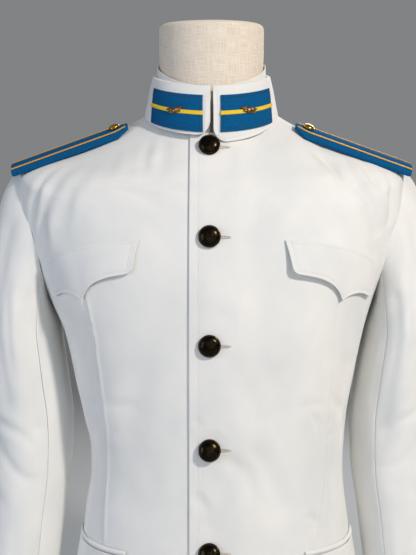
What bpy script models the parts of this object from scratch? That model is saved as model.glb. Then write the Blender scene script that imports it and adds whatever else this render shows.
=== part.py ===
"""White military tunic, buttoned on a limbless linen dress form.

The front faces -Y, the wearer's left is +X, and the form stands on z = 0.
Tables and sizes are in millimetres and degrees. Meshes are made in metres.
Every panel of the body is a patch of one surface, body(angle, level): angle runs round the
figure from the centre front (0) through the wearer's left side (90) to the centre back (180),
and level is the height of that ring at the side, from the hem up over the shoulder to the neck.
"""

import math

import bpy
import numpy as np
from mathutils import Matrix, Vector

MM = 0.001

# Driving sizes
SEAM_GAP = 0.3
CLOTH = 1.8
SLEEVE_CLOTH = 1.6
COLLAR_CLOTH = 1.8
LINER_CLOTH = 1.2
FLAP_CLOTH = 1.8
HEM_LEVEL = 38.0
UNDERARM_LEVEL = 545.0
SHOULDER_LEVEL = 691.0
NECK_LEVEL = 759.0
EDGE_X = 23.0
SIDE_SEAM = 66.0
ARMHOLE_REACH = 28.0
ARMHOLE_LEAN = 0.15
SHOULDER_ROLL = 24.0
CUFF_Z = 95.0
BICEPS_Z = 500.0
CAP_FULLNESS = 0.55
SLEEVE_SEAM_TURN = 0.25
FORM_TOP = 862.0
NECK_TILT = 13.0
NECK_Y = -2.0
BUTTON_X = -2.5
BUTTON_RADIUS = 11.5
BUTTON_HEIGHTS = (702.0, 606.0, 496.0, 389.0, 282.0)
BOARD_LENGTH = 140.0
BOARD_WIDTH = 45.0
BOARD_THICK = 3.4


def table(columns, rows):
    """A table as a dict of column name to array."""
    return dict(zip(columns, np.array(rows, float).T))


# The tunic's rings, hem to neck. level is also the ring's height at the side.
BODY = table(
    ("level", "front_z", "back_z", "half_width", "front", "back", "square", "ridge"),
    (
        (38, 38, 38, 181, 126, 128, 0.03, 2),
        (95, 95, 95, 176, 122, 126, 0.03, 2),
        (160, 160, 160, 171, 118, 121, 0.03, 2),
        (237, 237, 237, 165, 114, 112, 0.03, 2),
        (290, 290, 290, 158, 113, 104, 0.03, 2),
        (350, 350, 350, 152, 113, 100, 0.03, 2),
        (405, 405, 405, 156, 116, 106, 0.03, 2),
        (450, 450, 450, 164, 120, 113, 0.03, 2),
        (503, 503, 503, 175, 124, 120, 0.03, 2),
        (545, 545, 545, 188, 125, 124, 0.03, 2),
        (600, 590, 598, 213, 123, 128, 0.03, 4),
        (650, 629, 645, 223, 118, 127, 0.03, 5),
        (691, 656, 688, 224, 110, 119, 0.03, 5),
        (704, 667, 704, 194, 106, 112, 0.03, 5),
        (718, 680, 721, 156, 100, 102, 0.02, 5),
        (732, 695, 740, 122, 92, 89, 0.02, 4),
        (745, 707, 757, 96, 85, 78, 0.01, 3),
        (759, 719, 774, 71.5, 78, 66, 0.0, 2),
    ),
)

# How far the dress form lies inside the cloth, by level: all round, and extra at the arm end.
FORM_EASE = table(
    ("level", "ease", "arm_end"),
    (
        (0, 22, 0),
        (38, 22, 0),
        (160, 16, 0),
        (290, 9, 0),
        (350, 6, 0),
        (503, 6, 0),
        (560, 6, 3),
        (620, 5, 16),
        (660, 4.5, 10),
        (691, 4, 2),
        (718, 3.5, 0),
        (759, 5, 0),
    ),
)

# The hanging sleeve's rings below the biceps: centre and half sizes across and front to back.
SLEEVE = table(
    ("z", "centre_x", "centre_y", "half_x", "half_y"),
    (
        (95, 231, -34, 38, 48),
        (170, 225, -24, 40, 51),
        (240, 219, -14, 42, 55),
        (300, 215, -6, 44, 58),
        (350, 212, 0, 47, 60),
        (400, 212, 3, 48, 63),
        (450, 215, 2, 45, 68),
        (500, 219, 2, 41, 72),
    ),
)

# How far the wearer's right side is drawn in, by height. The draw fades out towards the middle.
WAIST_TUCK = table(
    ("z", "shift"),
    (
        (0, 0),
        (38, 3),
        (110, 6),
        (200, 9),
        (260, 11),
        (308, 10.5),
        (345, 12.5),
        (375, 12.5),
        (405, 8.5),
        (431, 6.5),
        (503, 5),
        (535, 0.6),
        (545, 0),
        (900, 0),
    ),
)
TUCK_REACH = (20.0, 150.0)

# Soft folds in the cloth, as lines seen from the front or the back. Depth is inwards.
FOLD_COLUMNS = ("x0", "z0", "x1", "z1", "width", "depth")
FRONT_FOLDS = table(
    FOLD_COLUMNS,
    (
        (-72, 700, -66, 655, 10, 2.2),
        (-50, 705, -47, 665, 9, 1.6),
        (-196, 652, -176, 585, 11, 3.2),
        (-165, 655, -158, 600, 12, 2.2),
        (-150, 520, -138, 430, 12, 2.6),
        (-62, 500, -92, 330, 30, 3.0),
        (192, 650, 178, 590, 11, 2.6),
        (120, 705, 145, 655, 10, 1.8),
        (150, 470, 140, 400, 12, 2.4),
        (46, 476, 70, 430, 15, 1.8),
        (48, 378, 74, 330, 14, 2.4),
    ),
)
BACK_FOLDS = table(
    FOLD_COLUMNS,
    (
        (-170, 620, -150, 520, 14, 2.6),
        (170, 620, 150, 520, 14, 2.6),
        (-120, 470, -70, 400, 22, 2.6),
        (120, 470, 70, 400, 22, 2.6),
        (-60, 740, 60, 740, 12, 1.2),
        (-95, 200, -100, 60, 26, 3.0),
        (95, 200, 100, 60, 26, 3.0),
    ),
)

# Soft folds in a sleeve, as stretches along it: angle round the tube and height, top to bottom.
SLEEVE_FOLD_COLUMNS = ("angle0", "z0", "angle1", "z1", "width", "depth")
SLEEVE_FOLDS = table(
    SLEEVE_FOLD_COLUMNS,
    (
        (60, 620, 75, 430, 12, 2.6),
        (110, 540, 118, 400, 11, 2.4),
        (25, 400, 100, 340, 14, 2.2),
        (300, 560, 285, 430, 14, 2.4),
        (250, 420, 310, 370, 14, 2.4),
    ),
)


def smooth(grid, values, at):
    """Values read off a smooth curve through a table's rows, without overshoot between them."""
    steps = np.diff(grid)
    slopes = np.diff(values) / steps
    tangents = np.zeros(len(grid))
    turning = slopes[:-1] * slopes[1:] > 0
    near, far = 2 * steps[1:] + steps[:-1], steps[1:] + 2 * steps[:-1]
    with np.errstate(divide="ignore", invalid="ignore"):
        mean = (near + far) / (near / slopes[:-1] + far / slopes[1:])
    tangents[1:-1] = np.where(turning, mean, 0.0)
    tangents[0], tangents[-1] = slopes[0], slopes[-1]
    row = np.clip(np.searchsorted(grid, at) - 1, 0, len(steps) - 1)
    step = steps[row]
    share = (at - grid[row]) / step
    rest = 1 - share
    return (
        values[row] * rest * rest * (1 + 2 * share)
        + values[row + 1] * share * share * (1 + 2 * rest)
        + tangents[row] * step * share * rest * rest
        - tangents[row + 1] * step * share * share * rest
    )


def ramp(low, high, value):
    """0 below low, 1 above high, and smooth between."""
    share = np.clip((value - low) / (high - low), 0, 1)
    return share * share * (3 - 2 * share)


def body(angle, level):
    """The undraped outer surface of the tunic's body.

    Away from the side its width is averaged over nearby levels, which rolls the shoulder's edge."""
    angle, level = np.broadcast_arrays(
        np.asarray(angle, float), np.asarray(level, float)
    )
    col = {n: smooth(BODY["level"], BODY[n], level) for n in BODY if n != "level"}
    turn = np.radians(angle)
    s, c = np.sin(turn), np.cos(turn)
    width = 0
    for step in np.linspace(-1, 1, 5):
        near = np.clip(level + step * SHOULDER_ROLL * np.abs(c), HEM_LEVEL, NECK_LEVEL)
        width = width + smooth(BODY["level"], BODY["half_width"], near) / 5
    squared = 1 - col["square"]
    depth = np.where(c > 0, col["front"], col["back"])
    tilt = (col["back_z"] - col["front_z"]) / 2
    drop = level - (col["back_z"] + col["front_z"]) / 2
    return np.stack(
        (
            width * (s + col["square"] * np.sin(3 * turn)) / squared,
            -depth * (c - col["square"] * np.cos(3 * turn)) / squared,
            level - tilt * c - drop * (1 - np.abs(s) ** col["ridge"]),
        ),
        axis=-1,
    )


def tucked(points):
    """Points of the finished body, whose waist is drawn in on the wearer's right."""
    points = np.array(points, float)
    shift = smooth(WAIST_TUCK["z"], WAIST_TUCK["shift"], points[..., 2])
    points[..., 0] += shift * ramp(*TUCK_REACH, -points[..., 0])
    return points


def unit(vectors):
    return vectors / np.linalg.norm(vectors, axis=-1, keepdims=True)


def body_normal(angle, level):
    """The outward normal of body(angle, level)."""
    level = np.clip(level, HEM_LEVEL, NECK_LEVEL - 0.2)
    round_it = body(angle + 0.2, level) - body(angle - 0.2, level)
    up_it = body(angle, level + 0.2) - body(angle, level - 0.2)
    return unit(np.cross(round_it, up_it))


def fold_depth(across, up, folds, names):
    """How far soft folds push the cloth in, where each fold is a line in a flat view."""
    total = np.zeros(np.shape(across))
    for row in zip(*(folds[n] for n in names)):
        x0, z0, x1, z1, width, depth = row
        run_x, run_z = x1 - x0, z1 - z0
        along = ((across - x0) * run_x + (up - z0) * run_z) / (run_x**2 + run_z**2)
        inside = np.clip(along, 0, 1)
        off = np.hypot(across - x0 - inside * run_x, up - z0 - inside * run_z)
        total += depth * np.exp(-((off / width) ** 2))
    return total


def cloth(angle, level, lift=0.0, side=1):
    """The draped outer surface of the tunic's body, moved out by lift.

    Side -1 gives the wearer's right with its own folds, still mirrored to the left."""
    points, normals = body(angle, level), body_normal(angle, level)
    x, z = points[..., 0] * side, points[..., 2]
    facing = np.clip(-normals[..., 1] * 2, -1, 1)
    folds = np.clip(facing, 0, 1) * fold_depth(x, z, FRONT_FOLDS, FOLD_COLUMNS)
    folds += np.clip(-facing, 0, 1) * fold_depth(x, z, BACK_FOLDS, FOLD_COLUMNS)
    return points + normals * (lift - folds)[..., None]


def angle_at_x(x, level):
    """The front angle at which the ring of this level passes x."""
    low, high = np.full(np.shape(level), -80.0), np.full(np.shape(level), 80.0)
    for _ in range(40):
        middle = (low + high) / 2
        short = body(middle, level)[..., 0] < x
        low, high = np.where(short, middle, low), np.where(short, high, middle)
    return (low + high) / 2


def gap_angle(angle, level, gap):
    """The angle that a gap takes up on a ring."""
    pace = np.linalg.norm(body(angle + 0.5, level) - body(angle - 0.5, level), axis=-1)
    return gap / pace


def armhole(turn):
    """Angle and level of the left armhole: turn 0 at the shoulder, 90 in front, 180 below."""
    turn = np.radians(turn)
    middle = (SHOULDER_LEVEL + UNDERARM_LEVEL) / 2
    half = (SHOULDER_LEVEL - UNDERARM_LEVEL) / 2
    reach = ARMHOLE_REACH * np.sin(turn) * (1 - ARMHOLE_LEAN * np.cos(turn))
    return 90 - reach, middle + half * np.cos(turn)


def armhole_turn(level):
    """The turn, in front, at which the armhole has this level."""
    middle = (SHOULDER_LEVEL + UNDERARM_LEVEL) / 2
    half = (SHOULDER_LEVEL - UNDERARM_LEVEL) / 2
    return np.degrees(np.arccos(np.clip((level - middle) / half, -1, 1)))


def lower_armhole_turn(angle):
    """The turn, in the armhole's lower half, at which it passes this angle in front."""
    away = np.abs(np.asarray(angle, float) - 90)
    low, high = np.full(away.shape, 100.0), np.full(away.shape, 180.0)
    for _ in range(40):
        middle = (low + high) / 2
        wide = 90 - armhole(middle)[0] > away
        low, high = np.where(wide, middle, low), np.where(wide, high, middle)
    return (low + high) / 2


def lower_armhole_level(angle):
    """The level of the armhole's lower edge at this angle."""
    return armhole(lower_armhole_turn(angle))[1]


SEAM_TOP = float(lower_armhole_level(SIDE_SEAM))
SEAM_TURN = float(armhole_turn(SEAM_TOP))
BESIDE_TURNS = np.linspace(SEAM_TURN, 0, 10)
BELOW_ARM = np.linspace(HEM_LEVEL, 503, 13)
UNDER_ARM = np.linspace(503, SEAM_TOP, 4)[1:]
BESIDE_ARM = armhole(BESIDE_TURNS[1:])[1]
OVER_SHOULDER = np.array((698, 707, 718, 731, 745, NECK_LEVEL))
PANEL_LEVELS = np.concatenate((BELOW_ARM, UNDER_ARM, BESIDE_ARM, OVER_SHOULDER))


def side_edge(level):
    """The front panel's side edge: the side seam, then the armhole, then the shoulder seam."""
    beside = armhole(armhole_turn(level))[0]
    edge = np.where(level < SEAM_TOP, SIDE_SEAM, beside)
    return np.where(level >= SHOULDER_LEVEL, 90.0, edge)


def material(name, colour, roughness, metallic=0.0):
    made = bpy.data.materials.new(name)
    made.use_nodes = True
    shader = made.node_tree.nodes["Principled BSDF"]
    shader.inputs["Base Color"].default_value = (*colour, 1)
    shader.inputs["Roughness"].default_value = roughness
    shader.inputs["Metallic"].default_value = metallic
    return made


def add_object(name, mesh, finish):
    made = bpy.data.objects.new(name, mesh)
    made.data.materials.append(finish)
    PARTS.objects.link(made)
    return made


def surface(name, rows, finish, closed=False):
    """An open sheet through rows of points, each row the same length."""
    rows = np.asarray(rows, float)
    height, width = rows.shape[:2]
    mesh = bpy.data.meshes.new(name)
    faces = []
    for r in range(height - 1):
        for c in range(width if closed else width - 1):
            after = (c + 1) % width
            faces.append(
                (
                    r * width + c,
                    r * width + after,
                    (r + 1) * width + after,
                    (r + 1) * width + c,
                )
            )
    mesh.from_pydata((tucked(rows).reshape(-1, 3) * MM).tolist(), [], faces)
    mesh.shade_smooth()
    return add_object(name, mesh, finish)


def wall(name, outer, inner, finish):
    """A closed cloth wall between the rows of its outer and its inner face."""
    shape = np.asarray if name.startswith("sleeve") else tucked
    outer, inner = shape(outer), shape(inner)
    height, width = outer.shape[:2]
    skin = height * width
    faces = []
    for r in range(height - 1):
        for c in range(width - 1):
            corner = r * width + c
            quad = (corner, corner + 1, corner + 1 + width, corner + width)
            faces += [quad, tuple(skin + i for i in reversed(quad))]
    rim = list(range(width))
    rim += [r * width + width - 1 for r in range(1, height)]
    rim += [(height - 1) * width + c for c in range(width - 2, -1, -1)]
    rim += [r * width for r in range(height - 2, 0, -1)]
    for near, far in zip(rim, rim[1:] + rim[:1]):
        faces.append((far, near, skin + near, skin + far))
    points = np.concatenate((outer.reshape(-1, 3), inner.reshape(-1, 3)))
    mesh = bpy.data.meshes.new(name)
    mesh.from_pydata((points * MM).tolist(), [], faces)
    mesh.shade_smooth()
    return add_object(name, mesh, finish)


def both_sides(name, outer, inner, finish):
    """A wall on the wearer's left and its mirror image on the right."""
    wall(name + "_left", outer, inner, finish)
    wall(name + "_right", mirrored(outer), mirrored(inner), finish)


def mirrored(rows):
    """The same rows on the wearer's right, still with their outer face outwards."""
    flipped = np.array(rows, float)[:, ::-1].copy()
    flipped[..., 0] *= -1
    return flipped


def overlap_lift(x):
    """The left front rides over the right front near the centre."""
    return (CLOTH + 0.7) * (1 - ramp(24, 46, x))


def front_panels(finish):
    """The two fronts. The wearer's left front overlaps the right one."""
    levels = PANEL_LEVELS[:, None]
    edge = side_edge(levels)
    outer = edge - gap_angle(edge, levels, SEAM_GAP / 2)
    middle = [angle_at_x(x, levels) for x in (-EDGE_X, -8, 8, EDGE_X, 33, 46)]
    rest = middle[-1] + (outer - middle[-1]) * np.linspace(0, 1, 8)[1:]
    angles = np.concatenate((*middle, rest), axis=1)
    lifts = overlap_lift(body(angles, levels)[..., 0])
    rows = [cloth(angles, levels, lifts - depth) for depth in (0, CLOTH)]
    wall("front_left", *rows, finish)
    rows = [mirrored(cloth(angles, levels, -depth, -1)) for depth in (0, CLOTH)]
    wall("front_right", *rows, finish)


def back_panels(finish):
    """The two backs, joined at the centre back seam."""
    levels = PANEL_LEVELS[:, None]
    edge = 180 - side_edge(levels)
    first = edge + gap_angle(edge, levels, SEAM_GAP / 2)
    last = 180 - gap_angle(180.0, levels, SEAM_GAP / 2)
    angles = first + (last - first) * np.linspace(0, 1, 9)
    both_sides("back", *(cloth(angles, levels, -depth) for depth in (0, CLOTH)), finish)


SIDE_SHARES = np.linspace(0, 1, 6)


def side_panels(finish):
    """The narrow panel under each arm, up to the armhole's lower edge."""
    seam = SIDE_SEAM + gap_angle(SIDE_SEAM, BELOW_ARM, SEAM_GAP / 2)
    angles = seam[:, None] + (180 - 2 * seam[:, None]) * SIDE_SHARES
    levels = np.repeat(BELOW_ARM[:, None], len(SIDE_SHARES), axis=1)
    top = lower_armhole_level(angles[-1])
    steps = (UNDER_ARM - BELOW_ARM[-1]) / (SEAM_TOP - BELOW_ARM[-1])
    rising = BELOW_ARM[-1] + steps[:, None] * (top - BELOW_ARM[-1])
    levels = np.concatenate((levels, rising))
    angles = np.concatenate((angles, np.repeat(angles[-1:], len(steps), axis=0)))
    both_sides("side", *(cloth(angles, levels, -depth) for depth in (0, CLOTH)), finish)


def sleeve_ring(turn, z):
    """The sleeve tube below the biceps: turn 0 outside, 90 in front, 180 next to the body."""
    turn = np.radians(turn)
    col = {n: smooth(SLEEVE["z"], SLEEVE[n], z) for n in SLEEVE if n != "z"}
    return np.stack(
        np.broadcast_arrays(
            col["centre_x"] + col["half_x"] * np.cos(turn),
            col["centre_y"] - col["half_y"] * np.sin(turn),
            z + 0 * turn,
        ),
        axis=-1,
    )


def sleeve_start(turn):
    """The sleeve head's edge, one seam gap off the armhole, and the way that it sets off."""
    angle, level = armhole(turn)
    edge = cloth(angle, level)
    normal = body_normal(angle, level)
    run = cloth(*armhole(turn + 1)) - cloth(*armhole(turn - 1))
    across = unit(np.cross(normal, run))
    below = (1 - np.cos(np.radians(turn)))[..., None] / 2
    start = edge + (SEAM_GAP + 0.1) * unit(across * (1 - below) + normal * below)
    slope = np.radians(68 * (1 - below) ** 0.8)
    out = np.concatenate((np.sin(slope), 0 * slope, -np.cos(slope)), axis=-1)
    return start, out


def sleeve_surface(turn, station):
    """The sleeve's outer face. Station 0 to 1 is the cap, and 1 to 2 the tube to the cuff."""
    turn, station = np.broadcast_arrays(turn, station)
    start, out = sleeve_start(turn)
    end = sleeve_ring(turn, np.full(turn.shape, BICEPS_Z))
    reach = np.linalg.norm(end - start, axis=-1, keepdims=True)
    t = np.clip(station, 0, 1)[..., None]
    down = np.array((0.0, 0.0, -1.0))
    cap = (
        (2 * t**3 - 3 * t**2 + 1) * start
        + (t**3 - 2 * t**2 + t) * out * reach * CAP_FULLNESS
        + (3 * t**2 - 2 * t**3) * end
        + (t**3 - t**2) * down * reach
    )
    z = BICEPS_Z + (CUFF_Z - BICEPS_Z) * np.clip(station - 1, 0, 1)
    tube = sleeve_ring(turn, z)
    return np.where((station <= 1)[..., None], cap, tube)


def sleeve_cloth(turn, station, depth):
    """The sleeve's face at a depth below its outer one, with its soft folds."""
    points = sleeve_surface(turn, station)
    round_it = sleeve_surface(turn + 1, station) - sleeve_surface(turn - 1, station)
    near = np.clip(station, 0.01, 1.99)
    down_it = sleeve_surface(turn, near + 0.01) - sleeve_surface(turn, near - 0.01)
    normals = unit(np.cross(round_it, down_it))
    arc = np.broadcast_to(np.mod(turn, 360), points.shape[:2])
    folds = fold_depth(arc, points[..., 2], SLEEVE_FOLDS, SLEEVE_FOLD_COLUMNS)
    held = ramp(0.0, 0.35, station)
    seam = (1 - ramp(0, 0.2, station)) * (1 + np.cos(np.radians(turn))) / 2
    normals = unit(normals + (body_normal(*armhole(turn)) - normals) * seam[..., None])
    return points - normals * (folds * held + depth)[..., None]


def sleeves(finish):
    """Each sleeve is an upper and an under sleeve, joined by two long seams.

    At the armhole they take the same points as the panels that they are sewn to."""
    seam = SIDE_SEAM + (180 - 2 * SIDE_SEAM) * SIDE_SHARES[1:-1]
    below = lower_armhole_turn(seam)
    below = np.where(seam < 90, below, 360 - below)
    front, back = SEAM_TURN - SLEEVE_SEAM_TURN, 360 - SEAM_TURN + SLEEVE_SEAM_TURN
    over = np.concatenate((360 - BESIDE_TURNS[1:], 360 + BESIDE_TURNS[-2:0:-1]))
    upper = np.concatenate(([back], over, [360 + front]))
    ends = SEAM_TURN + SLEEVE_SEAM_TURN, 360 - SEAM_TURN - SLEEVE_SEAM_TURN
    under = np.concatenate((ends[:1], below, ends[1:]))
    cap = np.array((0, 0.08, 0.18, 0.3, 0.44, 0.6, 0.8))
    stations = np.concatenate((cap, np.linspace(1, 2, 9)))[:, None]
    for name, arcs in (("sleeve_upper", upper), ("sleeve_under", under)):
        skins = (sleeve_cloth(arcs[None, :], stations, depth) for depth in (0, SLEEVE_CLOTH))
        both_sides(name, *skins, finish)


# The collar: rings of the stand's outer face at the neck seam and at the fold, and its layers.
STAND_TOP = {"half_width": 66.0, "front": 72.0, "back": 66.0}
STAND_TOP_Z = {"front": 773.0, "side": 803.0, "back": 822.0}
COLLAR_GAP = 1.6
FOLD_WIDTH = 4.9
FALL_SPREAD = {"front": 10.5, "back": 4.6}
CORNER_ANGLE, CORNER_HEIGHT = 8.5, 15.0
LINER_RISE = {"front": 4.0, "side": 15.5}
LINER_GAP = 0.9


def collar_frame(angle):
    """Foot and top of the stand's outer face at an angle, and the way out from the neck."""
    turn = np.radians(angle)
    s, c = np.sin(turn), np.cos(turn)
    foot = body(angle, NECK_LEVEL)
    depth = np.where(c > 0, STAND_TOP["front"], STAND_TOP["back"])
    tilt = (STAND_TOP_Z["back"] - STAND_TOP_Z["front"]) / 2
    drop = STAND_TOP_Z["side"] - (STAND_TOP_Z["back"] + STAND_TOP_Z["front"]) / 2
    top = np.stack(
        (
            STAND_TOP["half_width"] * s,
            -depth * c,
            STAND_TOP_Z["side"] - tilt * c - drop * c * c,
        ),
        axis=-1,
    )
    out = unit(np.stack((s / 72, -c / depth, 0 * s), axis=-1))
    return foot, top, out


def on_stand(angle, away, rise):
    """A point at a distance out from the stand's outer face and a rise above its foot."""
    foot, top, out = collar_frame(angle)
    climb = unit(top - foot)
    return foot + climb * np.asarray(rise)[..., None] + out * np.asarray(away)[..., None]


def stand_height(angle):
    foot, top, _ = collar_frame(angle)
    return np.linalg.norm(top - foot, axis=-1)


def fall_profile(angle, depth):
    """The fall's rows, from its lower edge up over the fold, at a depth below its outer face.

    Each row is a distance out from the stand and a rise above its foot."""
    height = stand_height(angle)
    turn = np.abs((angle + 180) % 360 - 180)
    share = ramp(12, 66, turn)
    spread = FALL_SPREAD["front"] + (FALL_SPREAD["back"] - FALL_SPREAD["front"]) * share
    drop = fall_drop(angle)
    radius = FOLD_WIDTH / 2
    folded = FOLD_WIDTH - COLLAR_CLOTH
    centre = height - radius
    rows = []
    for up, out in ((0, 1), (0.3, 0.86), (0.65, 0.7)):
        away = folded + (spread - folded) * out
        rows.append((away - depth, -drop + up * (centre + drop)))
    for arc in np.radians((0, 45, 90, 135, 180)):
        away = radius - COLLAR_CLOTH + (radius - depth) * math.cos(arc)
        rows.append((away + 0 * height, centre + (radius - depth) * math.sin(arc)))
    return rows


def fall_rows(angle, depth):
    return [on_stand(angle, away, rise) for away, rise in fall_profile(angle, depth)]


def fall_drop(angle):
    """How far below the neck seam the fall hangs.

    The wearer's left end hangs a little lower, and both front corners are rounded."""
    turn = np.abs((angle + 180) % 360 - 180)
    in_front = 1 - ramp(10, 75, turn)
    left = 1 - ramp(0, 75, angle)
    corner = np.clip(1 - (turn - 1.5) / CORNER_ANGLE, 0, 1)
    rounded = CORNER_HEIGHT * (1 - np.sqrt(1 - corner**2))
    return 1.0 + in_front * 2.0 + 8.0 * left - rounded


def collar(finish):
    """Stand, fall and inner liner. The fall folds over the stand and hides the neck seam."""
    gap = math.degrees(COLLAR_GAP / STAND_TOP["front"])
    near = gap + np.array((0.0, 1.2, 3.0, 5.5, 9.0))
    angles = np.concatenate((near, np.linspace(17, 343, 22), 360 - near[::-1]))
    height = stand_height(angles)
    shares = (0.012, 0.33, 0.64, 0.93)
    skins = []
    for depth in (0, COLLAR_CLOTH):
        skins.append([on_stand(angles, 0 * height - depth, height * u) for u in shares])
    wall("collar_stand", *skins, finish)
    wall("collar_fall", fall_rows(angles, 0), fall_rows(angles, COLLAR_CLOTH), finish)
    side = np.clip(1 - np.cos(np.radians(angles)), 0, 1)
    rise = LINER_RISE["front"] + (LINER_RISE["side"] - LINER_RISE["front"]) * side
    upright = rise[:, None] * np.array((0, 0, 1))
    skins = []
    for depth in (0, LINER_CLOTH):
        away = -COLLAR_CLOTH - LINER_GAP - depth + 0 * height
        rows = [on_stand(angles, away, height * share) for share in shares[1:]]
        skins.append([*rows, rows[-1] + 0.5 * upright, rows[-1] + upright])
    wall("collar_liner", *skins, finish)


def on_fall(angle, up, lift):
    """A point on the fall's outer face, moved out by lift. up is a share of the stand's height."""
    aways, rises = (np.array(column) for column in zip(*fall_profile(angle, 0)[:4]))
    rise = up * stand_height(angle)
    away = np.empty(np.shape(rise))
    for place in np.ndindex(away.shape):
        here = (slice(None), *place)
        away[place] = np.interp(rise[place], rises[here], aways[here])
    return on_stand(angle, away + lift, rise)


TAB_INNER = {"bottom": 5.5, "top": 7.0}
TAB_OUTER = {"bottom": 51.0, "top": 62.0}
TAB_BOTTOM, TAB_TOP = 0.0, 0.77
TAB_THICK = 1.5
STRIPE_HALF = 0.042
STRIPE_THICK = 0.5
BADGE_ANGLE = 27.3
BADGE_LENGTH = 10.3


def tab_angle(share, up):
    """The angle at a share of the tab's width, whose ends stand nearly upright."""
    climb = (up - TAB_BOTTOM) / (TAB_TOP - TAB_BOTTOM)
    inner = TAB_INNER["bottom"] + (TAB_INNER["top"] - TAB_INNER["bottom"]) * climb
    outer = TAB_OUTER["bottom"] + (TAB_OUTER["top"] - TAB_OUTER["bottom"]) * climb
    return inner + (outer - inner) * share


def collar_tabs(blue, yellow):
    """A blue patch on each end of the fall, with a narrow yellow stripe along its middle."""
    shares = np.linspace(0, 1, 9)
    middle = (TAB_BOTTOM + TAB_TOP) / 2
    patch = np.linspace(TAB_BOTTOM, TAB_TOP, 5)
    stripe = middle + STRIPE_HALF * np.array((-1, 0, 1))
    patch_base = 0.5
    stripe_base = patch_base + TAB_THICK + SEAM_GAP
    for side in ("left", "right"):
        for name, ups, base, thick, finish in (
            ("tab_", patch, patch_base, TAB_THICK, blue),
            ("tab_stripe_", stripe, stripe_base, STRIPE_THICK, yellow),
        ):
            turns = tab_angle(shares, ups[:, None])
            turns = turns if side == "left" else 360 - turns[:, ::-1]
            rises = ups[:, None] + 0 * turns
            skins = [on_fall(turns, rises, base + lift) for lift in (thick, 0)]
            wall(name + side, *skins, finish)


def placed(made, point, normal, up=(0, 0, 1)):
    """Puts an object's origin at a point, its +Z along the normal and its +Y near up."""
    z = Vector(normal).normalized()
    x = Vector(up).cross(z).normalized()
    y = z.cross(x)
    turn = Matrix((x, y, z)).transposed().to_4x4()
    made.matrix_world = Matrix.Translation(Vector(point) * MM) @ turn
    return made


def turned(name, profile, finish, steps):
    """A solid of revolution about Z from a profile of radius and height, top to bottom."""
    mesh = bpy.data.meshes.new(name)
    points = [(r * MM, 0, h * MM) for r, h in profile]
    mesh.from_pydata(points, [(i, i + 1) for i in range(len(points) - 1)], [])
    made = add_object(name, mesh, finish)
    screw = made.modifiers.new("Turn", "SCREW")
    screw.steps = screw.render_steps = steps
    screw.use_merge_vertices = True
    screw.merge_threshold = 0.00001
    screw.use_normal_calculate = True
    return made


def dome_profile(radius, height, rim):
    """A domed button with a low rim and a flat underside."""
    rows = []
    for share in (0, 0.35, 0.65, 0.88):
        rows.append((radius * share, rim + (height - rim) * math.sqrt(1 - share**2)))
    rows += [(radius, rim), (radius * 0.96, 0.9), (radius * 0.6, 0.0), (0.0, 0.0)]
    return rows


def front_place(x, z, lift):
    """A point on the left front at x and height z, with the way out from the cloth there."""
    low, high = z - 5.0, z + 60.0
    for _ in range(40):
        level = min((low + high) / 2, NECK_LEVEL)
        if body(angle_at_x(x, level), level)[2] < z:
            low = level
        else:
            high = level
    angle = angle_at_x(x, level)
    return cloth(angle, level, overlap_lift(x) + lift), body_normal(angle, level)


def buttons(bronze):
    """Five domed buttons down the centre front."""
    profile = dome_profile(BUTTON_RADIUS, 7.5, 2.2)
    for number, z in enumerate(BUTTON_HEIGHTS, 1):
        point, normal = front_place(BUTTON_X, z, 0.0)
        facing = unit(normal + np.array((0, -1.0, 0)))
        lean = math.sqrt(1 - min(1, float(np.dot(normal, facing))) ** 2)
        stand_off = SEAM_GAP + 0.62 * BUTTON_RADIUS * lean
        button = turned(f"button_{number}", profile, bronze, 14)
        placed(button, point + normal * stand_off, facing)


# The chest flaps, by angle round the body and level, with a pointed lower edge.
CHEST_FLAP = {"inner": 18.0, "outer": 53.0, "top_inner": 616.0, "top_outer": 587.0}
CHEST_FLAP_LEAN = {"inner": 3.0, "outer": 8.0}
CHEST_FLAP_EDGE, CHEST_FLAP_POINT, CHEST_FLAP_CURVE = 42.0, 22.0, 0.17
CHEST_FLAP_CORNER, CHEST_FLAP_TIP = 0.07, 0.53
HIP_FLAP = {"inner": 34.0, "outer": 96.0, "top": 272.0, "height": 56.0}
WELT_HEIGHT = 6.0
FLAP_GAP = 0.6


def chest_flap_length(share):
    """The flap's length at a share of its width: rounded corners and a point near the middle."""
    point = CHEST_FLAP_POINT * np.exp(-np.abs(share - CHEST_FLAP_TIP) / CHEST_FLAP_CURVE)
    side = np.minimum(share, 1 - share) / CHEST_FLAP_CORNER
    corner = np.clip(1 - side, 0, 1)
    return CHEST_FLAP_EDGE + point - 7 * (1 - np.sqrt(1 - corner**2))


def chest_flaps(finish):
    """The flap over each breast pocket. The wearer's left one stands further off the chest."""
    tip = CHEST_FLAP_TIP
    inner = tip * np.array((0, 0.05, 0.17, 0.35, 0.55, 0.74, 0.9))
    outer = tip + (1 - tip) * np.array((0, 0.12, 0.3, 0.55, 0.8, 0.95, 1))
    shares = np.concatenate((inner, outer))
    downs = np.linspace(1, 0, 5)[:, None]
    ends = {n: CHEST_FLAP[n] + CHEST_FLAP_LEAN[n] * downs for n in CHEST_FLAP_LEAN}
    angles = ends["inner"] + (ends["outer"] - ends["inner"]) * shares
    bow = 5 * np.sin(np.pi * shares)
    fall = CHEST_FLAP["top_outer"] - CHEST_FLAP["top_inner"]
    tops = CHEST_FLAP["top_inner"] + fall * shares
    levels = tops + bow - downs * chest_flap_length(shares)
    for side, flip, stand_off, inner_off in (("left", 1, 2.6, 3.6), ("right", -1, 1.8, 0.8)):
        off = downs**1.3 * (stand_off + inner_off * (1 - ramp(0, 0.5, shares)))
        skins = [cloth(angles, levels, FLAP_GAP + off + up, flip) for up in (FLAP_CLOTH, 0)]
        if flip < 0:
            skins = [mirrored(skin) for skin in skins]
        wall("chest_flap_" + side, *skins, finish)


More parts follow.
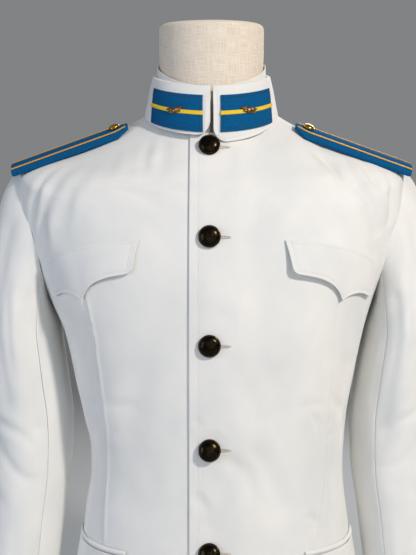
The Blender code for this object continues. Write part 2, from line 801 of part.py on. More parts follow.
def hip_pockets(finish):
    """A welt and a plain square flap low on each side, over the front and side panels."""
    angles = np.linspace(HIP_FLAP["inner"], HIP_FLAP["outer"], 13)
    downs = np.linspace(1, 0, 4)[:, None]
    levels = HIP_FLAP["top"] - downs * HIP_FLAP["height"] + 0 * angles
    skins = [cloth(angles, levels, FLAP_GAP + 1.5 * downs + up) for up in (FLAP_CLOTH, 0)]
    both_sides("hip_flap", *skins, finish)
    levels = HIP_FLAP["top"] + 0.4 + WELT_HEIGHT * np.array((0, 0.5, 1))[:, None] + 0 * angles
    roll = np.array((1.4, 2.0, 1.2))[:, None]
    skins = [cloth(angles, levels, FLAP_GAP + roll * up) for up in (1, 0)]
    both_sides("hip_welt", *skins, finish)


# The shoulder boards: the crest's inner end, slope, forward tilt and arch.
BOARD_START = np.array((98.0, -8.0, 744.6))
BOARD_SLOPE = 19.8
BOARD_TILT = 26.0
BOARD_ARCH = 50.0
BOARD_TAPER = 14.0
BRAID_HALF, BRAID_PLACE, BRAID_THICK = 1.4, 12.5, 0.7


def board_point(along, across, lift):
    """A point over a shoulder board. across is negative towards the front."""
    slope = math.radians(BOARD_SLOPE)
    bend = across / BOARD_ARCH - math.radians(BOARD_TILT)
    radius = BOARD_ARCH + lift
    crest = BOARD_START + np.asarray(along)[..., None] * np.array(
        (math.cos(slope), 0, -math.sin(slope))
    )
    level = radius * np.cos(bend) - BOARD_ARCH
    return crest + np.stack(
        np.broadcast_arrays(
            math.sin(slope) * level, radius * np.sin(bend), math.cos(slope) * level
        ),
        axis=-1,
    )


def board_half_width(along):
    """Half the board's width, cut back at its inner end."""
    return BOARD_WIDTH / 2 * (0.42 + 0.58 * np.clip(along / BOARD_TAPER, 0, 1))


def shoulder_boards(blue, gold, brass):
    """A stiff board on each shoulder with two lines of braid and a small button."""
    along = np.array((0, BOARD_TAPER / 2, BOARD_TAPER, 45, 80, 115, BOARD_LENGTH))
    across = board_half_width(along)[:, None] * np.linspace(1, -1, 9)
    stations = along[:, None] + 0 * across
    skins = [board_point(stations, across, lift) for lift in (0, -BOARD_THICK)]
    both_sides("board", *skins, blue)
    along = np.array((3, 10, 20, 50, 80, 112, BOARD_LENGTH - 1.0))
    nearing = 8.0 + (BRAID_PLACE - 8.0) * ramp(0, 18, along)
    for line, way in (("front", -1), ("back", 1)):
        across = way * nearing[:, None] + np.array((BRAID_HALF, -BRAID_HALF))
        stations = along[:, None] + 0 * across
        skins = [board_point(stations, across, SEAM_GAP + up) for up in (BRAID_THICK, 0)]
        both_sides("braid_" + line, *skins, gold)
    profile = dome_profile(6.0, 4.4, 1.2)
    foot = board_point(15.0, 0.0, SEAM_GAP)
    normal = board_point(15.0, 0.0, 10.0) - board_point(15.0, 0.0, 0.0)
    for side, flip in (("left", 1), ("right", -1)):
        way = np.array((flip, 1, 1))
        placed(turned("board_button_" + side, profile, brass, 12), foot * way, normal * way)


def badges(brass):
    """A small plain pin on each tab: two leaves either side of a round boss."""
    outline = []
    for turn in np.linspace(0, 2 * math.pi, 28, endpoint=False):
        leaf = 3.4 + (BADGE_LENGTH - 3.4) * abs(math.cos(turn)) ** 2.2
        height = 0.8 * leaf * math.sin(turn) + 0.6 * abs(math.cos(turn))
        outline.append((leaf * math.cos(turn), height))
    middle = (TAB_BOTTOM + TAB_TOP) / 2
    lift = 4 * SEAM_GAP + TAB_THICK + STRIPE_THICK
    for side, flip in (("left", 1), ("right", -1)):
        angle = flip * BADGE_ANGLE
        foot = on_fall(np.array(angle), np.array(middle), lift + 1.2)
        outer = on_fall(np.array(angle), np.array(middle), lift + 9.0)
        drawing = bpy.data.curves.new("badge_" + side, "CURVE")
        drawing.dimensions = "2D"
        drawing.fill_mode = "BOTH"
        drawing.extrude = 0.6 * MM
        line = drawing.splines.new("POLY")
        line.points.add(len(outline) - 1)
        for point, (x, y) in zip(line.points, outline):
            point.co = (x * MM, y * MM, 0, 1)
        line.use_cyclic_u = True
        made = add_object("badge_" + side, drawing, brass)
        placed(made, foot, outer - foot)


def form_clearance(angle, level):
    """How far the dress form lies behind the cloth's outer face. It meets the shoulder seams."""
    ease = smooth(FORM_EASE["level"], FORM_EASE["ease"], level)
    arm_end = smooth(FORM_EASE["level"], FORM_EASE["arm_end"], level)
    beside = np.exp(-(((np.abs(angle - 180) - 90) / 26) ** 2))
    seam = np.exp(-(((np.abs(angle - 180) - 90) / 12) ** 2)) * ramp(692, 706, level)
    seam = seam * (1 - ramp(742, 754, level))
    return CLOTH + 0.45 * seam + (ease + arm_end * beside) * (1 - seam)


def dress_form(linen):
    """The limbless torso that carries the tunic: closed, smooth, with a flat base and neck."""
    angles = np.linspace(0, 360, 24, endpoint=False)
    low = (100, 170, 237, 290, 350, 405, 503)
    high = (545, 580, 615, 645, 670, 691, 704, 720, 735, 748)
    rows = []
    for scale, z in ((0.0, 0.0), (0.955, 0.0), (0.99, 3.5), (1.0, 10.0)):
        ring = body(angles, HEM_LEVEL)
        ring -= body_normal(angles, HEM_LEVEL) * form_clearance(angles, 0.0)[:, None]
        ring = ring * scale
        ring[:, 2] = z
        rows.append(ring)
    for level in (*low, *high):
        at = np.full(angles.shape, float(level))
        points, normals = body(angles, at), body_normal(angles, at)
        rows.append(points - normals * form_clearance(angles, at)[:, None])
    turn = np.radians(angles)
    neck = (
        (757.0, 61.6, 22.0, 14.0),
        (772.0, 60.0, 25.0, 8.0),
        (802.0, 60.4, 18.0, 0.0),
        (828.0, 61.4, NECK_TILT, 0.0),
        (FORM_TOP - 7.0, 61.6, NECK_TILT, 0.0),
        (FORM_TOP - 2.2, 60.0, NECK_TILT, 0.0),
        (FORM_TOP - 0.4, 55.0, NECK_TILT, 0.0),
        (FORM_TOP, 30.0, NECK_TILT / 2, 0.0),
        (FORM_TOP, 0.0, 0.0, 0.0),
    )
    for z, radius, tilt, ridge in neck:
        c, s = np.cos(turn), np.sin(turn)
        height = z - tilt * c - ridge * c * c * (c > 0)
        rows.append(np.stack((radius * s, NECK_Y - radius * c, height), axis=-1))
    made = surface("dress_form", rows, linen, closed=True)
    weld = made.modifiers.new("Close", "WELD")
    weld.merge_threshold = 0.00001


def main():
    white = material("white_drill", (0.86, 0.86, 0.84), 0.8)
    blue = material("blue_felt", (0.01, 0.17, 0.37), 0.85)
    yellow = material("yellow_braid", (0.85, 0.62, 0.02), 0.7)
    gold = material("gold_braid", (0.72, 0.42, 0.08), 0.5)
    brass = material("brass", (0.6, 0.38, 0.12), 0.35, 1.0)
    bronze = material("dark_bronze", (0.05, 0.045, 0.03), 0.3, 1.0)
    linen = material("linen", (0.72, 0.62, 0.48), 0.85)
    front_panels(white)
    side_panels(white)
    back_panels(white)
    sleeves(white)
    collar(white)
    collar_tabs(blue, yellow)
    chest_flaps(white)
    hip_pockets(white)
    buttons(bronze)
    shoulder_boards(blue, gold, brass)
    badges(brass)
    dress_form(linen)


for old in list(bpy.data.objects):
    bpy.data.objects.remove(old)
PARTS = bpy.data.collections.new("military_tunic")
bpy.context.scene.collection.children.link(PARTS)
main()
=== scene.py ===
"""White military tunic on a limbless dress form: how every piece is finished.

The front faces -Y and the wearer's left is +X. Sizes are in millimetres and degrees, and become
metres where a mesh is made. The body's cloth follows body(angle, level): angle runs from the
centre front (0) over the wearer's left side (90) to the centre back (180), and level is the
height of a ring at the side, from the hem up over the shoulder to the neck.
"""

import math

import bmesh
import bpy
import numpy as np
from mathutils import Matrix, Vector


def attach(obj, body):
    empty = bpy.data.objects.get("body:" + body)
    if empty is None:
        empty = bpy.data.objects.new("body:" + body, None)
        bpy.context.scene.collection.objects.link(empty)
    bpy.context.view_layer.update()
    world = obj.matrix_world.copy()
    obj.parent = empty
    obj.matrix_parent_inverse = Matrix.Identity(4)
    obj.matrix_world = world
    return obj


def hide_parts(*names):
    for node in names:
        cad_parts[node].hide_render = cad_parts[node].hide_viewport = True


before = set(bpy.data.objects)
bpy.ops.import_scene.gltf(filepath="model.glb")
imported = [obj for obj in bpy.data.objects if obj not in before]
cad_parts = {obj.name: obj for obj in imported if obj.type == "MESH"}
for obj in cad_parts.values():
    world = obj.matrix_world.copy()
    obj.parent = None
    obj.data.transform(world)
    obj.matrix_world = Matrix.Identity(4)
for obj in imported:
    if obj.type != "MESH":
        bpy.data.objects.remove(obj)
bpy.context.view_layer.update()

MM = 0.001
ROOT = "root"
SIDES = (("left", 1), ("right", -1))

# Driving sizes
SEAM_GAP = 0.3
CLOTH = 1.8
COLLAR_CLOTH = 1.8
SHELL = 1.3
HEM_LEVEL = 38.0
UNDERARM_LEVEL = 545.0
SHOULDER_LEVEL = 691.0
NECK_LEVEL = 759.0
EDGE_X = 23.0
OVERLAP_RISE = CLOTH + 0.7
OVERLAP_FADE = (24.0, 46.0)
SIDE_SEAM = 66.0
ARMHOLE_REACH = 28.0
ARMHOLE_LEAN = 0.15
SHOULDER_ROLL = 24.0
CUFF_Z = 95.0
BICEPS_Z = 500.0
CAP_FULLNESS = 0.55
SLEEVE_SEAM_TURN = 0.25
FORM_TOP = 862.0
NECK_TILT = 13.0
NECK_Y = -2.0
NECK_CORNER = 7.0
BUTTON_X = -2.5
BUTTON_RADIUS = 11.5
BUTTON_HEIGHTS = (702.0, 606.0, 496.0, 389.0, 282.0)
BOARD_LENGTH = 140.0
BOARD_WIDTH = 45.0
BOARD_THICK = 3.4


def rows_of(text):
    """The rows of numbers in a text. Its lines that start with # are notes."""
    return [[float(v) for v in line.split()] for line in text.split("\n") if line and line[0] != "#"]


def table(columns, text):
    """A table as a dict of column name to array."""
    return dict(zip(columns.split(), np.array(rows_of(text)).T))


# The tunic's rings, hem to neck. level is also the ring's height at the side.
BODY = table(
    "level front_z back_z half_width front back square ridge",
    """
38 38 38 181 126 128 0.03 2
95 95 95 176 122 126 0.03 2
160 160 160 171 118 121 0.03 2
237 237 237 165 114 112 0.03 2
290 290 290 158 113 104 0.03 2
350 350 350 152 113 100 0.03 2
405 405 405 156 116 106 0.03 2
450 450 450 164 120 113 0.03 2
503 503 503 175 124 120 0.03 2
545 545 545 188 125 124 0.03 2
600 590 598 213 123 128 0.03 4
650 629 645 223 118 127 0.03 5
691 656 688 224 110 119 0.03 5
704 667 704 194 106 112 0.03 5
718 680 721 156 100 102 0.02 5
732 695 740 122 92 89 0.02 4
745 707 757 96 85 78 0.01 3
759 719 774 71.5 78 66 0.0 2
""",
)

# How far the dress form lies inside the cloth, by level: all round, and extra at the arm end.
FORM_EASE = table(
    "level ease arm_end",
    """
0 22 0
38 22 0
160 16 0
290 9 0
350 6 0
503 6 0
560 6 3
620 5 16
660 4.5 10
691 4 2
718 3.5 0
759 5 0
""",
)

# The form's neck, by height: radius, backward tilt, and how far it dips in front.
FORM_NECK = table(
    "z radius tilt dip",
    f"""
757 61.6 22 14
772 60.0 25 8
802 60.4 18 0
828 61.4 {NECK_TILT} 0
855 61.6 {NECK_TILT} 0
""",
)

# The hanging sleeve's rings below the biceps: centre and half sizes across and front to back.
SLEEVE = table(
    "z centre_x centre_y half_x half_y",
    """
95 231 -34 38 48
170 225 -24 40 51
240 219 -14 42 55
300 215 -6 44 58
350 212 0 47 60
400 212 3 48 63
450 215 2 45 68
500 219 2 41 72
""",
)

# How far the wearer's right side is drawn in, by height. The draw fades out towards the middle.
WAIST_TUCK = table(
    "z shift",
    """
0 0
38 3
110 6
200 9
260 11
308 10.5
345 12.5
375 12.5
405 8.5
431 6.5
503 5
535 0.6
545 0
900 0
""",
)
TUCK_REACH = (20.0, 150.0)

# Soft folds, as lines in a front or back view: x0 z0 x1 z1 width depth, with depth inwards.
# A crease has one more value, the bow that bends its line.
FRONT_FOLDS = rows_of("""
# Broad hang of the cloth
-72 700 -66 655 10 1.0
-50 705 -47 665 9 0.8
-196 652 -176 585 11 1.8
-165 655 -158 600 12 0.9
-150 520 -138 430 12 2.6
-62 500 -92 330 30 3.0
192 650 178 590 11 2.6
120 705 145 655 10 1.8
150 470 140 400 12 2.4
46 476 70 430 15 1.8
48 378 74 330 14 2.4
""")
FRONT_CREASES = rows_of("""
# Wearer's right shoulder and armhole
-172 684 -195 606 5 2.6 -11
-147 688 -186 600 8 2.4 -12
-120 694 -163 628 9 1.3 -7
-149 660 -157 622 6 0.9 3
-184 630 -186 574 6 1.6 2
-96 706 -118 660 9 0.8 -4
-84 712 -88 668 8 0.8 0
-68 714 -73 672 6 1.1 0
-51 712 -57 660 7 0.9 0
# Wearer's right side and waist
-130 470 -140 436 6 2.6 2
-141 500 -146 462 6 1.4 0
-118 431 -78 429 6 0.8 2
-112 398 -84 404 7 0.6 0
-66 488 -94 352 15 1.6 -5
-95 352 -97 262 18 2.0 3
-60 420 -72 250 16 1.2 0
# Wearer's left shoulder and armhole
118 702 140 662 5.5 4.2 3
140 694 160 650 7.5 3.6 4
157 660 180 612 6.5 4.2 5
166 690 178 654 6 2.8 3
160 636 176 590 7 2.2 4
197 674 192 622 4.5 3.6 5
185 604 177 562 6 1.6 0
# Below the collar and beside the buttons
22 484 41 416 11 1.3 3
17 383 45 336 8 2.4 3
2 537 17 516 11 1.0 0
-19 343 -2 326 6 1.6 0
-3 326 -3 292 12 1.4 0
-20 422 -7 412 3.5 0.8 0
-7 404 15 394 5 1.1 2
60 430 76 380 12 1.0 0
62 330 84 262 14 1.3 4
# Wearer's left waist
128 440 142 413 5.5 2.0 2
105 424 112 406 4.5 1.3 0
124 398 133 394 4 1.0 0
104 317 111 300 5 1.7 0
92 431 122 430 5 0.7 0
140 395 133 330 9 1.6 0
# Below the photographed part
-110 250 -116 60 20 2.2 4
-40 230 -46 50 22 1.8 0
44 240 52 50 20 2.0 0
112 245 122 55 20 2.2 -4
""")
BACK_FOLDS = rows_of("""
-170 620 -150 520 14 2.6
170 620 150 520 14 2.6
-120 470 -70 400 22 2.6
120 470 70 400 22 2.6
-60 740 60 740 12 1.2
-95 200 -100 60 26 3.0
95 200 100 60 26 3.0
""")
BACK_CREASES = rows_of("""
-196 660 -190 590 5 2.2 4
195 664 191 584 5 2.4 -4
-178 640 -158 548 7 1.8 -6
180 634 160 556 7 1.6 6
-128 705 -150 640 9 1.4 0
126 702 152 648 9 1.3 0
-70 722 -20 716 7 1.0 -4
18 720 66 723 7 0.9 -4
-140 440 -92 412 7 1.8 4
144 446 98 408 7 1.6 -4
-136 402 -96 388 6 1.3 3
134 410 90 392 6 1.2 -3
-50 390 -44 250 18 1.4 0
52 380 46 240 18 1.6 0
-60 210 -66 52 18 2.2 3
30 220 34 54 18 1.8 0
110 240 118 60 16 2.0 0
""")

# The same in a sleeve, by angle round the tube and height.
SLEEVE_FOLDS = rows_of("""
60 620 75 430 12 2.6
110 540 118 400 11 2.4
25 400 100 340 14 2.2
300 560 285 430 14 2.4
250 420 310 370 14 2.4
""")
SLEEVE_CREASES = rows_of("""
40 600 52 470 8 1.3 5
86 575 96 470 7 1.6 0
128 520 132 415 7 1.5 3
46 424 116 392 6 1.6 6
70 384 124 352 6 1.3 -5
20 352 84 322 8 1.1 6
96 300 104 170 9 1.2 4
60 260 66 130 10 1.0 -4
268 600 276 470 9 1.4 0
320 560 316 450 9 1.1 0
236 432 300 398 7 1.8 5
252 392 318 352 7 1.5 -4
286 300 292 150 11 1.3 3
330 330 336 180 12 1.0 0
""")

# The long darts, by height: the wearer's right one and left one.
DART = table(
    "z right left",
    """
282 -115.5 107
327 -115 117
358 -113 120
395 -112.4 123
433 -115.5 125
464 -119 125
510 -124.6 127
540 -131 130
""",
)


def smooth(rows, column, at):
    """A column of a table, read off by its first column on a smooth curve that doesn't overshoot."""
    grid, values = next(iter(rows.values())), rows[column]
    steps = np.diff(grid)
    slopes = np.diff(values) / steps
    tangents = np.zeros(len(grid))
    turning = slopes[:-1] * slopes[1:] > 0
    near, far = 2 * steps[1:] + steps[:-1], steps[1:] + 2 * steps[:-1]
    with np.errstate(divide="ignore", invalid="ignore"):
        mean = (near + far) / (near / slopes[:-1] + far / slopes[1:])
    tangents[1:-1] = np.where(turning, mean, 0.0)
    tangents[0], tangents[-1] = slopes[0], slopes[-1]
    row = np.clip(np.searchsorted(grid, at) - 1, 0, len(steps) - 1)
    step = steps[row]
    share = (at - grid[row]) / step
    rest = 1 - share
    return (
        values[row] * rest * rest * (1 + 2 * share)
        + values[row + 1] * share * share * (1 + 2 * rest)
        + tangents[row] * step * share * rest * rest
        - tangents[row + 1] * step * share * share * rest
    )


def ramp(low, high, value):
    """0 below low, 1 above high, and smooth between."""
    share = np.clip((value - low) / (high - low), 0, 1)
    return share * share * (3 - 2 * share)


def between(ends, share):
    """A value at a share of the way from the first named end to the second."""
    first, last = ends.values()
    return first + (last - first) * share


def tucked(points):
    """Points of the finished body, whose waist is drawn in on the wearer's right."""
    points = np.array(points, float)
    shift = smooth(WAIST_TUCK, "shift", points[..., 2])
    points[..., 0] += shift * ramp(*TUCK_REACH, -points[..., 0])
    return points


def unit(vectors):
    return vectors / np.linalg.norm(vectors, axis=-1, keepdims=True)


def body(angle, level):
    """The undraped outer surface of the tunic's body.

    Away from the side its width is averaged over nearby levels, which rolls the shoulder's edge."""
    angle, level = np.broadcast_arrays(np.asarray(angle, float), np.asarray(level, float))
    col = {n: smooth(BODY, n, level) for n in BODY if n != "level"}
    turn = np.radians(angle)
    s, c = np.sin(turn), np.cos(turn)
    width = 0
    for step in np.linspace(-1, 1, 5):
        near = np.clip(level + step * SHOULDER_ROLL * np.abs(c), HEM_LEVEL, NECK_LEVEL)
        width = width + smooth(BODY, "half_width", near) / 5
    squared = 1 - col["square"]
    depth = np.where(c > 0, col["front"], col["back"])
    tilt = (col["back_z"] - col["front_z"]) / 2
    drop = level - (col["back_z"] + col["front_z"]) / 2
    return np.stack(
        (
            width * (s + col["square"] * np.sin(3 * turn)) / squared,
            -depth * (c - col["square"] * np.cos(3 * turn)) / squared,
            level - tilt * c - drop * (1 - np.abs(s) ** col["ridge"]),
        ),
        axis=-1,
    )


def body_normal(angle, level):
    """The outward normal of body(angle, level)."""
    level = np.clip(level, HEM_LEVEL, NECK_LEVEL - 0.2)
    round_it = body(angle + 0.2, level) - body(angle - 0.2, level)
    up_it = body(angle, level + 0.2) - body(angle, level - 0.2)
    return unit(np.cross(round_it, up_it))


def fold_depth(across, up, folds):
    """How far broad folds push the cloth in."""
    total = np.zeros(np.shape(across))
    for x0, z0, x1, z1, width, depth in folds:
        run_x, run_z = x1 - x0, z1 - z0
        along = ((across - x0) * run_x + (up - z0) * run_z) / (run_x**2 + run_z**2)
        inside = np.clip(along, 0, 1)
        off = np.hypot(across - x0 - inside * run_x, up - z0 - inside * run_z)
        total += depth * np.exp(-((off / width) ** 2))
    return total


def crease_depth(across, up, creases):
    """How far creases push the cloth in: a trough with a ridge on either side, fading at its ends."""
    total = np.zeros(np.shape(across))
    for x0, z0, x1, z1, width, depth, bow in creases:
        length = math.hypot(x1 - x0, z1 - z0)
        run_x, run_z = (x1 - x0) / length, (z1 - z0) / length
        along = ((across - x0) * run_x + (up - z0) * run_z) / length
        wander = 0.16 * width * np.sin(7 * along + x0)
        off = (up - z0) * run_x - (across - x0) * run_z - bow * 4 * along * (1 - along) - wander
        fade = np.sin(np.pi * np.clip(0.08 + 0.84 * along, 0, 1)) ** 0.8
        fade = fade * (along > -0.095) * (along < 1.095)
        u = off / width
        shape = np.exp(-u * u) - 0.42 * np.exp(-((u - 1.6) ** 2)) - 0.26 * np.exp(-((u + 1.8) ** 2))
        total += depth * fade * shape
    return total


def dart_depth(x, z):
    """A long dart: a narrow raised lip beside a shallow groove, in front below the chest."""
    total = np.zeros(np.shape(x))
    for side, way in (("right", -1), ("left", 1)):
        off = (x - smooth(DART, side, np.clip(z, 282, 540))) * way
        held = ramp(276, 290, z) * (1 - ramp(536, 552, z))
        strength = 1.0 if side == "right" else 0.55
        groove = np.exp(-(((off - 2.4) / 1.7) ** 2))
        lip = np.exp(-((off / 1.9) ** 2))
        total += strength * held * (1.5 * groove - 1.3 * lip)
    return total


def cloth(angle, level, lift=0.0, side=1, fine=True):
    """The draped outer surface of the tunic's body, moved out by lift.

    Side -1 gives the wearer's right with its own folds, still mirrored to the left."""
    points, normals = body(angle, level), body_normal(angle, level)
    x, z = points[..., 0] * side, points[..., 2]
    facing = np.clip(-normals[..., 1] * 2, -1, 1)
    front, back = np.clip(facing, 0, 1), np.clip(-facing, 0, 1)
    folds = front * fold_depth(x, z, FRONT_FOLDS) + back * fold_depth(x, z, BACK_FOLDS)
    if fine:
        x = tucked(points * np.array((side, 1, 1)))[..., 0]
        folds += front * (crease_depth(x, z, FRONT_CREASES) + dart_depth(x, z))
        folds += back * crease_depth(x, z, BACK_CREASES)
    return points + normals * (lift - folds)[..., None]


def search(low, high, steps, short):
    """Where short(value) turns from true to false between low and high, by halving."""
    for _ in range(steps):
        middle = (low + high) / 2
        under = short(middle)
        low, high = np.where(under, middle, low), np.where(under, high, middle)
    return (low + high) / 2


def angle_at_x(x, level):
    """The front angle at which the ring of this level passes x."""
    end = np.full(np.shape(level), 80.0)
    return search(-end, end, 26, lambda angle: body(angle, level)[..., 0] < x)


def half_gap(angle, level):
    """The angle that half a seam gap takes up on a ring."""
    pace = np.linalg.norm(body(angle + 0.5, level) - body(angle - 0.5, level), axis=-1)
    return SEAM_GAP / 2 / pace


ARMHOLE_MIDDLE = (SHOULDER_LEVEL + UNDERARM_LEVEL) / 2
ARMHOLE_HALF = (SHOULDER_LEVEL - UNDERARM_LEVEL) / 2


def armhole(turn):
    """Angle and level of the left armhole: turn 0 at the shoulder, 90 in front, 180 below."""
    turn = np.radians(turn)
    reach = ARMHOLE_REACH * np.sin(turn) * (1 - ARMHOLE_LEAN * np.cos(turn))
    return 90 - reach, ARMHOLE_MIDDLE + ARMHOLE_HALF * np.cos(turn)


def armhole_turn(level):
    """The turn, in front, at which the armhole has this level."""
    return np.degrees(np.arccos(np.clip((level - ARMHOLE_MIDDLE) / ARMHOLE_HALF, -1, 1)))


def lower_armhole_level(angle):
    """The level of the armhole's lower edge at this angle."""
    away = np.abs(np.asarray(angle, float) - 90)
    ends = np.full(away.shape, 100.0), np.full(away.shape, 180.0)
    return armhole(search(*ends, 30, lambda turn: 90 - armhole(turn)[0] > away))[1]


SEAM_TOP = float(lower_armhole_level(SIDE_SEAM))
SEAM_TURN = float(armhole_turn(SEAM_TOP))


def side_edge(level):
    """The front panel's side edge: the side seam, then the armhole, then the shoulder seam."""
    beside = armhole(armhole_turn(level))[0]
    edge = np.where(level < SEAM_TOP, SIDE_SEAM, beside)
    return np.where(level >= SHOULDER_LEVEL, 90.0, edge)


def panel_levels(pace):
    """Levels from hem to neck, about a pace apart on the cloth."""
    below = np.linspace(HEM_LEVEL, SEAM_TOP, round((SEAM_TOP - HEM_LEVEL) / pace))
    turns = np.linspace(SEAM_TURN, 4, round(200 / pace))
    beside = armhole(np.append(turns[1:], 0))[1]
    over = np.linspace(SHOULDER_LEVEL, NECK_LEVEL, round(165 / pace))[1:]
    return np.concatenate((below, beside, over))


def overlap_lift(x):
    """The left front rides over the right front near the centre."""
    return OVERLAP_RISE * (1 - ramp(*OVERLAP_FADE, x))


# Colours and surfaces
def linear(code):
    """An sRGB hex colour as linear RGBA."""
    channels = [int(code[i : i + 2], 16) / 255 for i in (1, 3, 5)]
    return (*((c / 12.92 if c <= 0.04045 else ((c + 0.055) / 1.055) ** 2.4) for c in channels), 1.0)


def add(tree, kind, inputs=None, **settings):
    """Adds a node with its settings. inputs maps a socket to a value or to another node's socket."""
    node = tree.nodes.new(kind)
    for name, value in settings.items():
        setattr(node, name, value)
    for socket, value in (inputs or {}).items():
        if isinstance(value, bpy.types.NodeSocket):
            tree.links.new(value, node.inputs[socket])
        else:
            node.inputs[socket].default_value = value
    return node


def calc(tree, operation, *values):
    """The result of a Math node."""
    return add(tree, "ShaderNodeMath", dict(enumerate(values)), operation=operation).outputs[0]


def new_material(name, roughness, metallic=0.0, **sockets):
    """A material with a Principled shader, and its tree and shader."""
    made = bpy.data.materials.new(name)
    made.use_nodes = True
    shader = made.node_tree.nodes["Principled BSDF"]
    shader.inputs["Roughness"].default_value = roughness
    shader.inputs["Metallic"].default_value = metallic
    for socket, value in sockets.items():
        shader.inputs[socket.replace("_", " ").title()].default_value = value
    return made, made.node_tree, shader


def blended(tree, factor, low, high, spread=(0.35, 0.65)):
    """A colour between two hex colours by a factor."""
    ramp_node = add(tree, "ShaderNodeValToRGB", {"Fac": factor})
    first, last = ramp_node.color_ramp.elements
    first.position, last.position = spread
    first.color, last.color = linear(low), linear(high)
    return ramp_node.outputs["Color"]


def own_uv(tree):
    """The piece's own UV map, in metres along its cloth."""
    return add(tree, "ShaderNodeUVMap").outputs["UV"]


def woven(tree, uv, across_mm, along_mm):
    """Over-and-under threads as a height."""
    split = add(tree, "ShaderNodeSeparateXYZ", {0: uv})
    waves = []
    for axis, pitch in (("X", across_mm), ("Y", along_mm)):
        phase = calc(tree, "MULTIPLY", split.outputs[axis], 2 * math.pi / (pitch * MM))
        waves.append(calc(tree, "SINE", phase))
    return calc(tree, "MULTIPLY", *waves)


def noise_at(tree, place, scale, detail):
    """Noise at each point, from 0 to 1."""
    sockets = {"Vector": place, "Scale": scale, "Detail": detail}
    return add(tree, "ShaderNodeTexNoise", sockets).outputs["Fac"]


def streaks(tree, uv, across_mm, along_mm, detail=3.0):
    """Noise that is stretched along the piece, in millimetres a feature."""
    scale = (1 / (across_mm * MM), 1 / (along_mm * MM), 1)
    scaled = add(tree, "ShaderNodeMapping", {"Vector": uv, "Scale": scale})
    return noise_at(tree, scaled.outputs[0], 1.0, detail)


def grain(tree, scale, detail=2.0):
    """Even noise through a piece."""
    return noise_at(tree, add(tree, "ShaderNodeTexCoord").outputs["Object"], scale, detail)


def surfaced(tree, shader, colour, height, distance_mm, strength):
    """Gives a shader its colour, and a bump by a height."""
    sockets = {"Height": height, "Distance": distance_mm * MM, "Strength": strength}
    tree.links.new(colour, shader.inputs["Base Color"])
    tree.links.new(add(tree, "ShaderNodeBump", sockets).outputs["Normal"], shader.inputs["Normal"])


def cotton_drill():
    """Bleached cotton drill: a matt white twill with a faint diagonal rib and a soft, uneven press.

    The rib is drawn at 1.1 mm, twice its real pitch, so that it shows in a close view."""
    made, tree, shader = new_material("cotton_drill", 0.82, sheen_weight=0.12, sheen_roughness=0.5)
    uv = own_uv(tree)
    colour = blended(tree, streaks(tree, uv, 60, 90), "#E2E3E1", "#EDECE8")
    turned = add(tree, "ShaderNodeMapping", {"Vector": uv, "Rotation": (0, 0, math.radians(27))})
    height = calc(tree, "ADD", woven(tree, turned.outputs[0], 1.1, 4.0), streaks(tree, uv, 0.6, 1.6))
    surfaced(tree, shader, colour, height, 0.05, 0.5)
    return made


def wool_felt():
    """Royal blue wool felt: a dense, dull nap with short loose fibres."""
    made, tree, shader = new_material("wool_felt", 0.95)
    shader.inputs["Specular IOR Level"].default_value = 0.15
    nap = streaks(tree, own_uv(tree), 1.6, 1.2, 6.0)
    surfaced(tree, shader, blended(tree, nap, "#003F68", "#02659E", (0.3, 0.7)), nap, 0.35, 0.7)
    return made


def flat_braid(name, low, high, metallic, roughness):
    """Flat woven braid: short ribs across its length, of silk or of gilt thread, with painted shade in the
    hollows between the ribs and a painted highlight on their crests.
    """
    made, tree, shader = new_material(name, roughness, metallic)
    rib = woven(tree, own_uv(tree), 1.2, 1.4)
    # The colour follows the ribs' height: painted shade in their hollows and a painted highlight on their
    # crests.
    rib_shade_and_highlight = calc(tree, "MULTIPLY_ADD", rib, 0.5, 0.5)
    surfaced(tree, shader, blended(tree, rib_shade_and_highlight, low, high, (0.0, 0.9)), rib, 0.15, 0.8)
    return made


def metal(name, low, high, roughness, grain_mm, bump_mm):
    """Cast or stamped metal with dark in its hollows, lightly worn where it is handled."""
    made, tree, shader = new_material(name, roughness, 1.0)
    noise = grain(tree, 1 / (grain_mm * MM), 5.0)
    surfaced(tree, shader, blended(tree, noise, low, high, (0.35, 0.72)), noise, bump_mm, 0.6)
    return made


def slubbed_linen():
    """Unbleached linen, plain woven, with thicker threads here and there both ways."""
    made, tree, shader = new_material("slubbed_linen", 0.88, sheen_weight=0.1)
    uv = own_uv(tree)
    both = calc(tree, "ADD", streaks(tree, uv, 16, 0.8), streaks(tree, uv, 0.8, 18))
    half = calc(tree, "MULTIPLY", both, 0.5)
    surfaced(tree, shader, blended(tree, half, "#D6C7B2", "#EDE2D3", (0.36, 0.6)), half, 0.35, 0.7)
    return made


def thread(name, code):
    """Spun sewing cotton: a soft, slightly fuzzy strand, with random specks of painted shade standing for
    the shade between its fibres.
    """
    made, tree, shader = new_material(name, 0.7, sheen_weight=0.2)
    # A darker copy of the thread's colour, painted in random specks as the shade between the fibres.
    fibre_shade = "#" + "".join(f"{int(int(code[i : i + 2], 16) * 0.82):02X}" for i in (1, 3, 5))
    tree.links.new(blended(tree, grain(tree, 900.0), fibre_shade, code), shader.inputs["Base Color"])
    return made


WHITE = cotton_drill()
BLUE = wool_felt()
YELLOW = flat_braid("silk_braid", "#E6B000", "#FFE020", 0.0, 0.6)
GOLD = flat_braid("gilt_braid", "#C4831A", "#FFC648", 0.1, 0.45)
BRASS = metal("stamped_brass", "#5A3C1C", "#C79A5E", 0.34, 0.9, 0.1)
BRONZE = metal("dark_bronze", "#0C0B08", "#3A3122", 0.24, 1.6, 0.06)
GILT = metal("gilt_brass", "#A06A12", "#F6C95A", 0.2, 1.2, 0.05)
LINEN = slubbed_linen()
WHITE_THREAD = thread("white_thread", "#F4F2EC")
CREAM_THREAD = thread("cream_thread", "#EFE7D6")
BLUE_THREAD = thread("navy_thread", "#06243F")


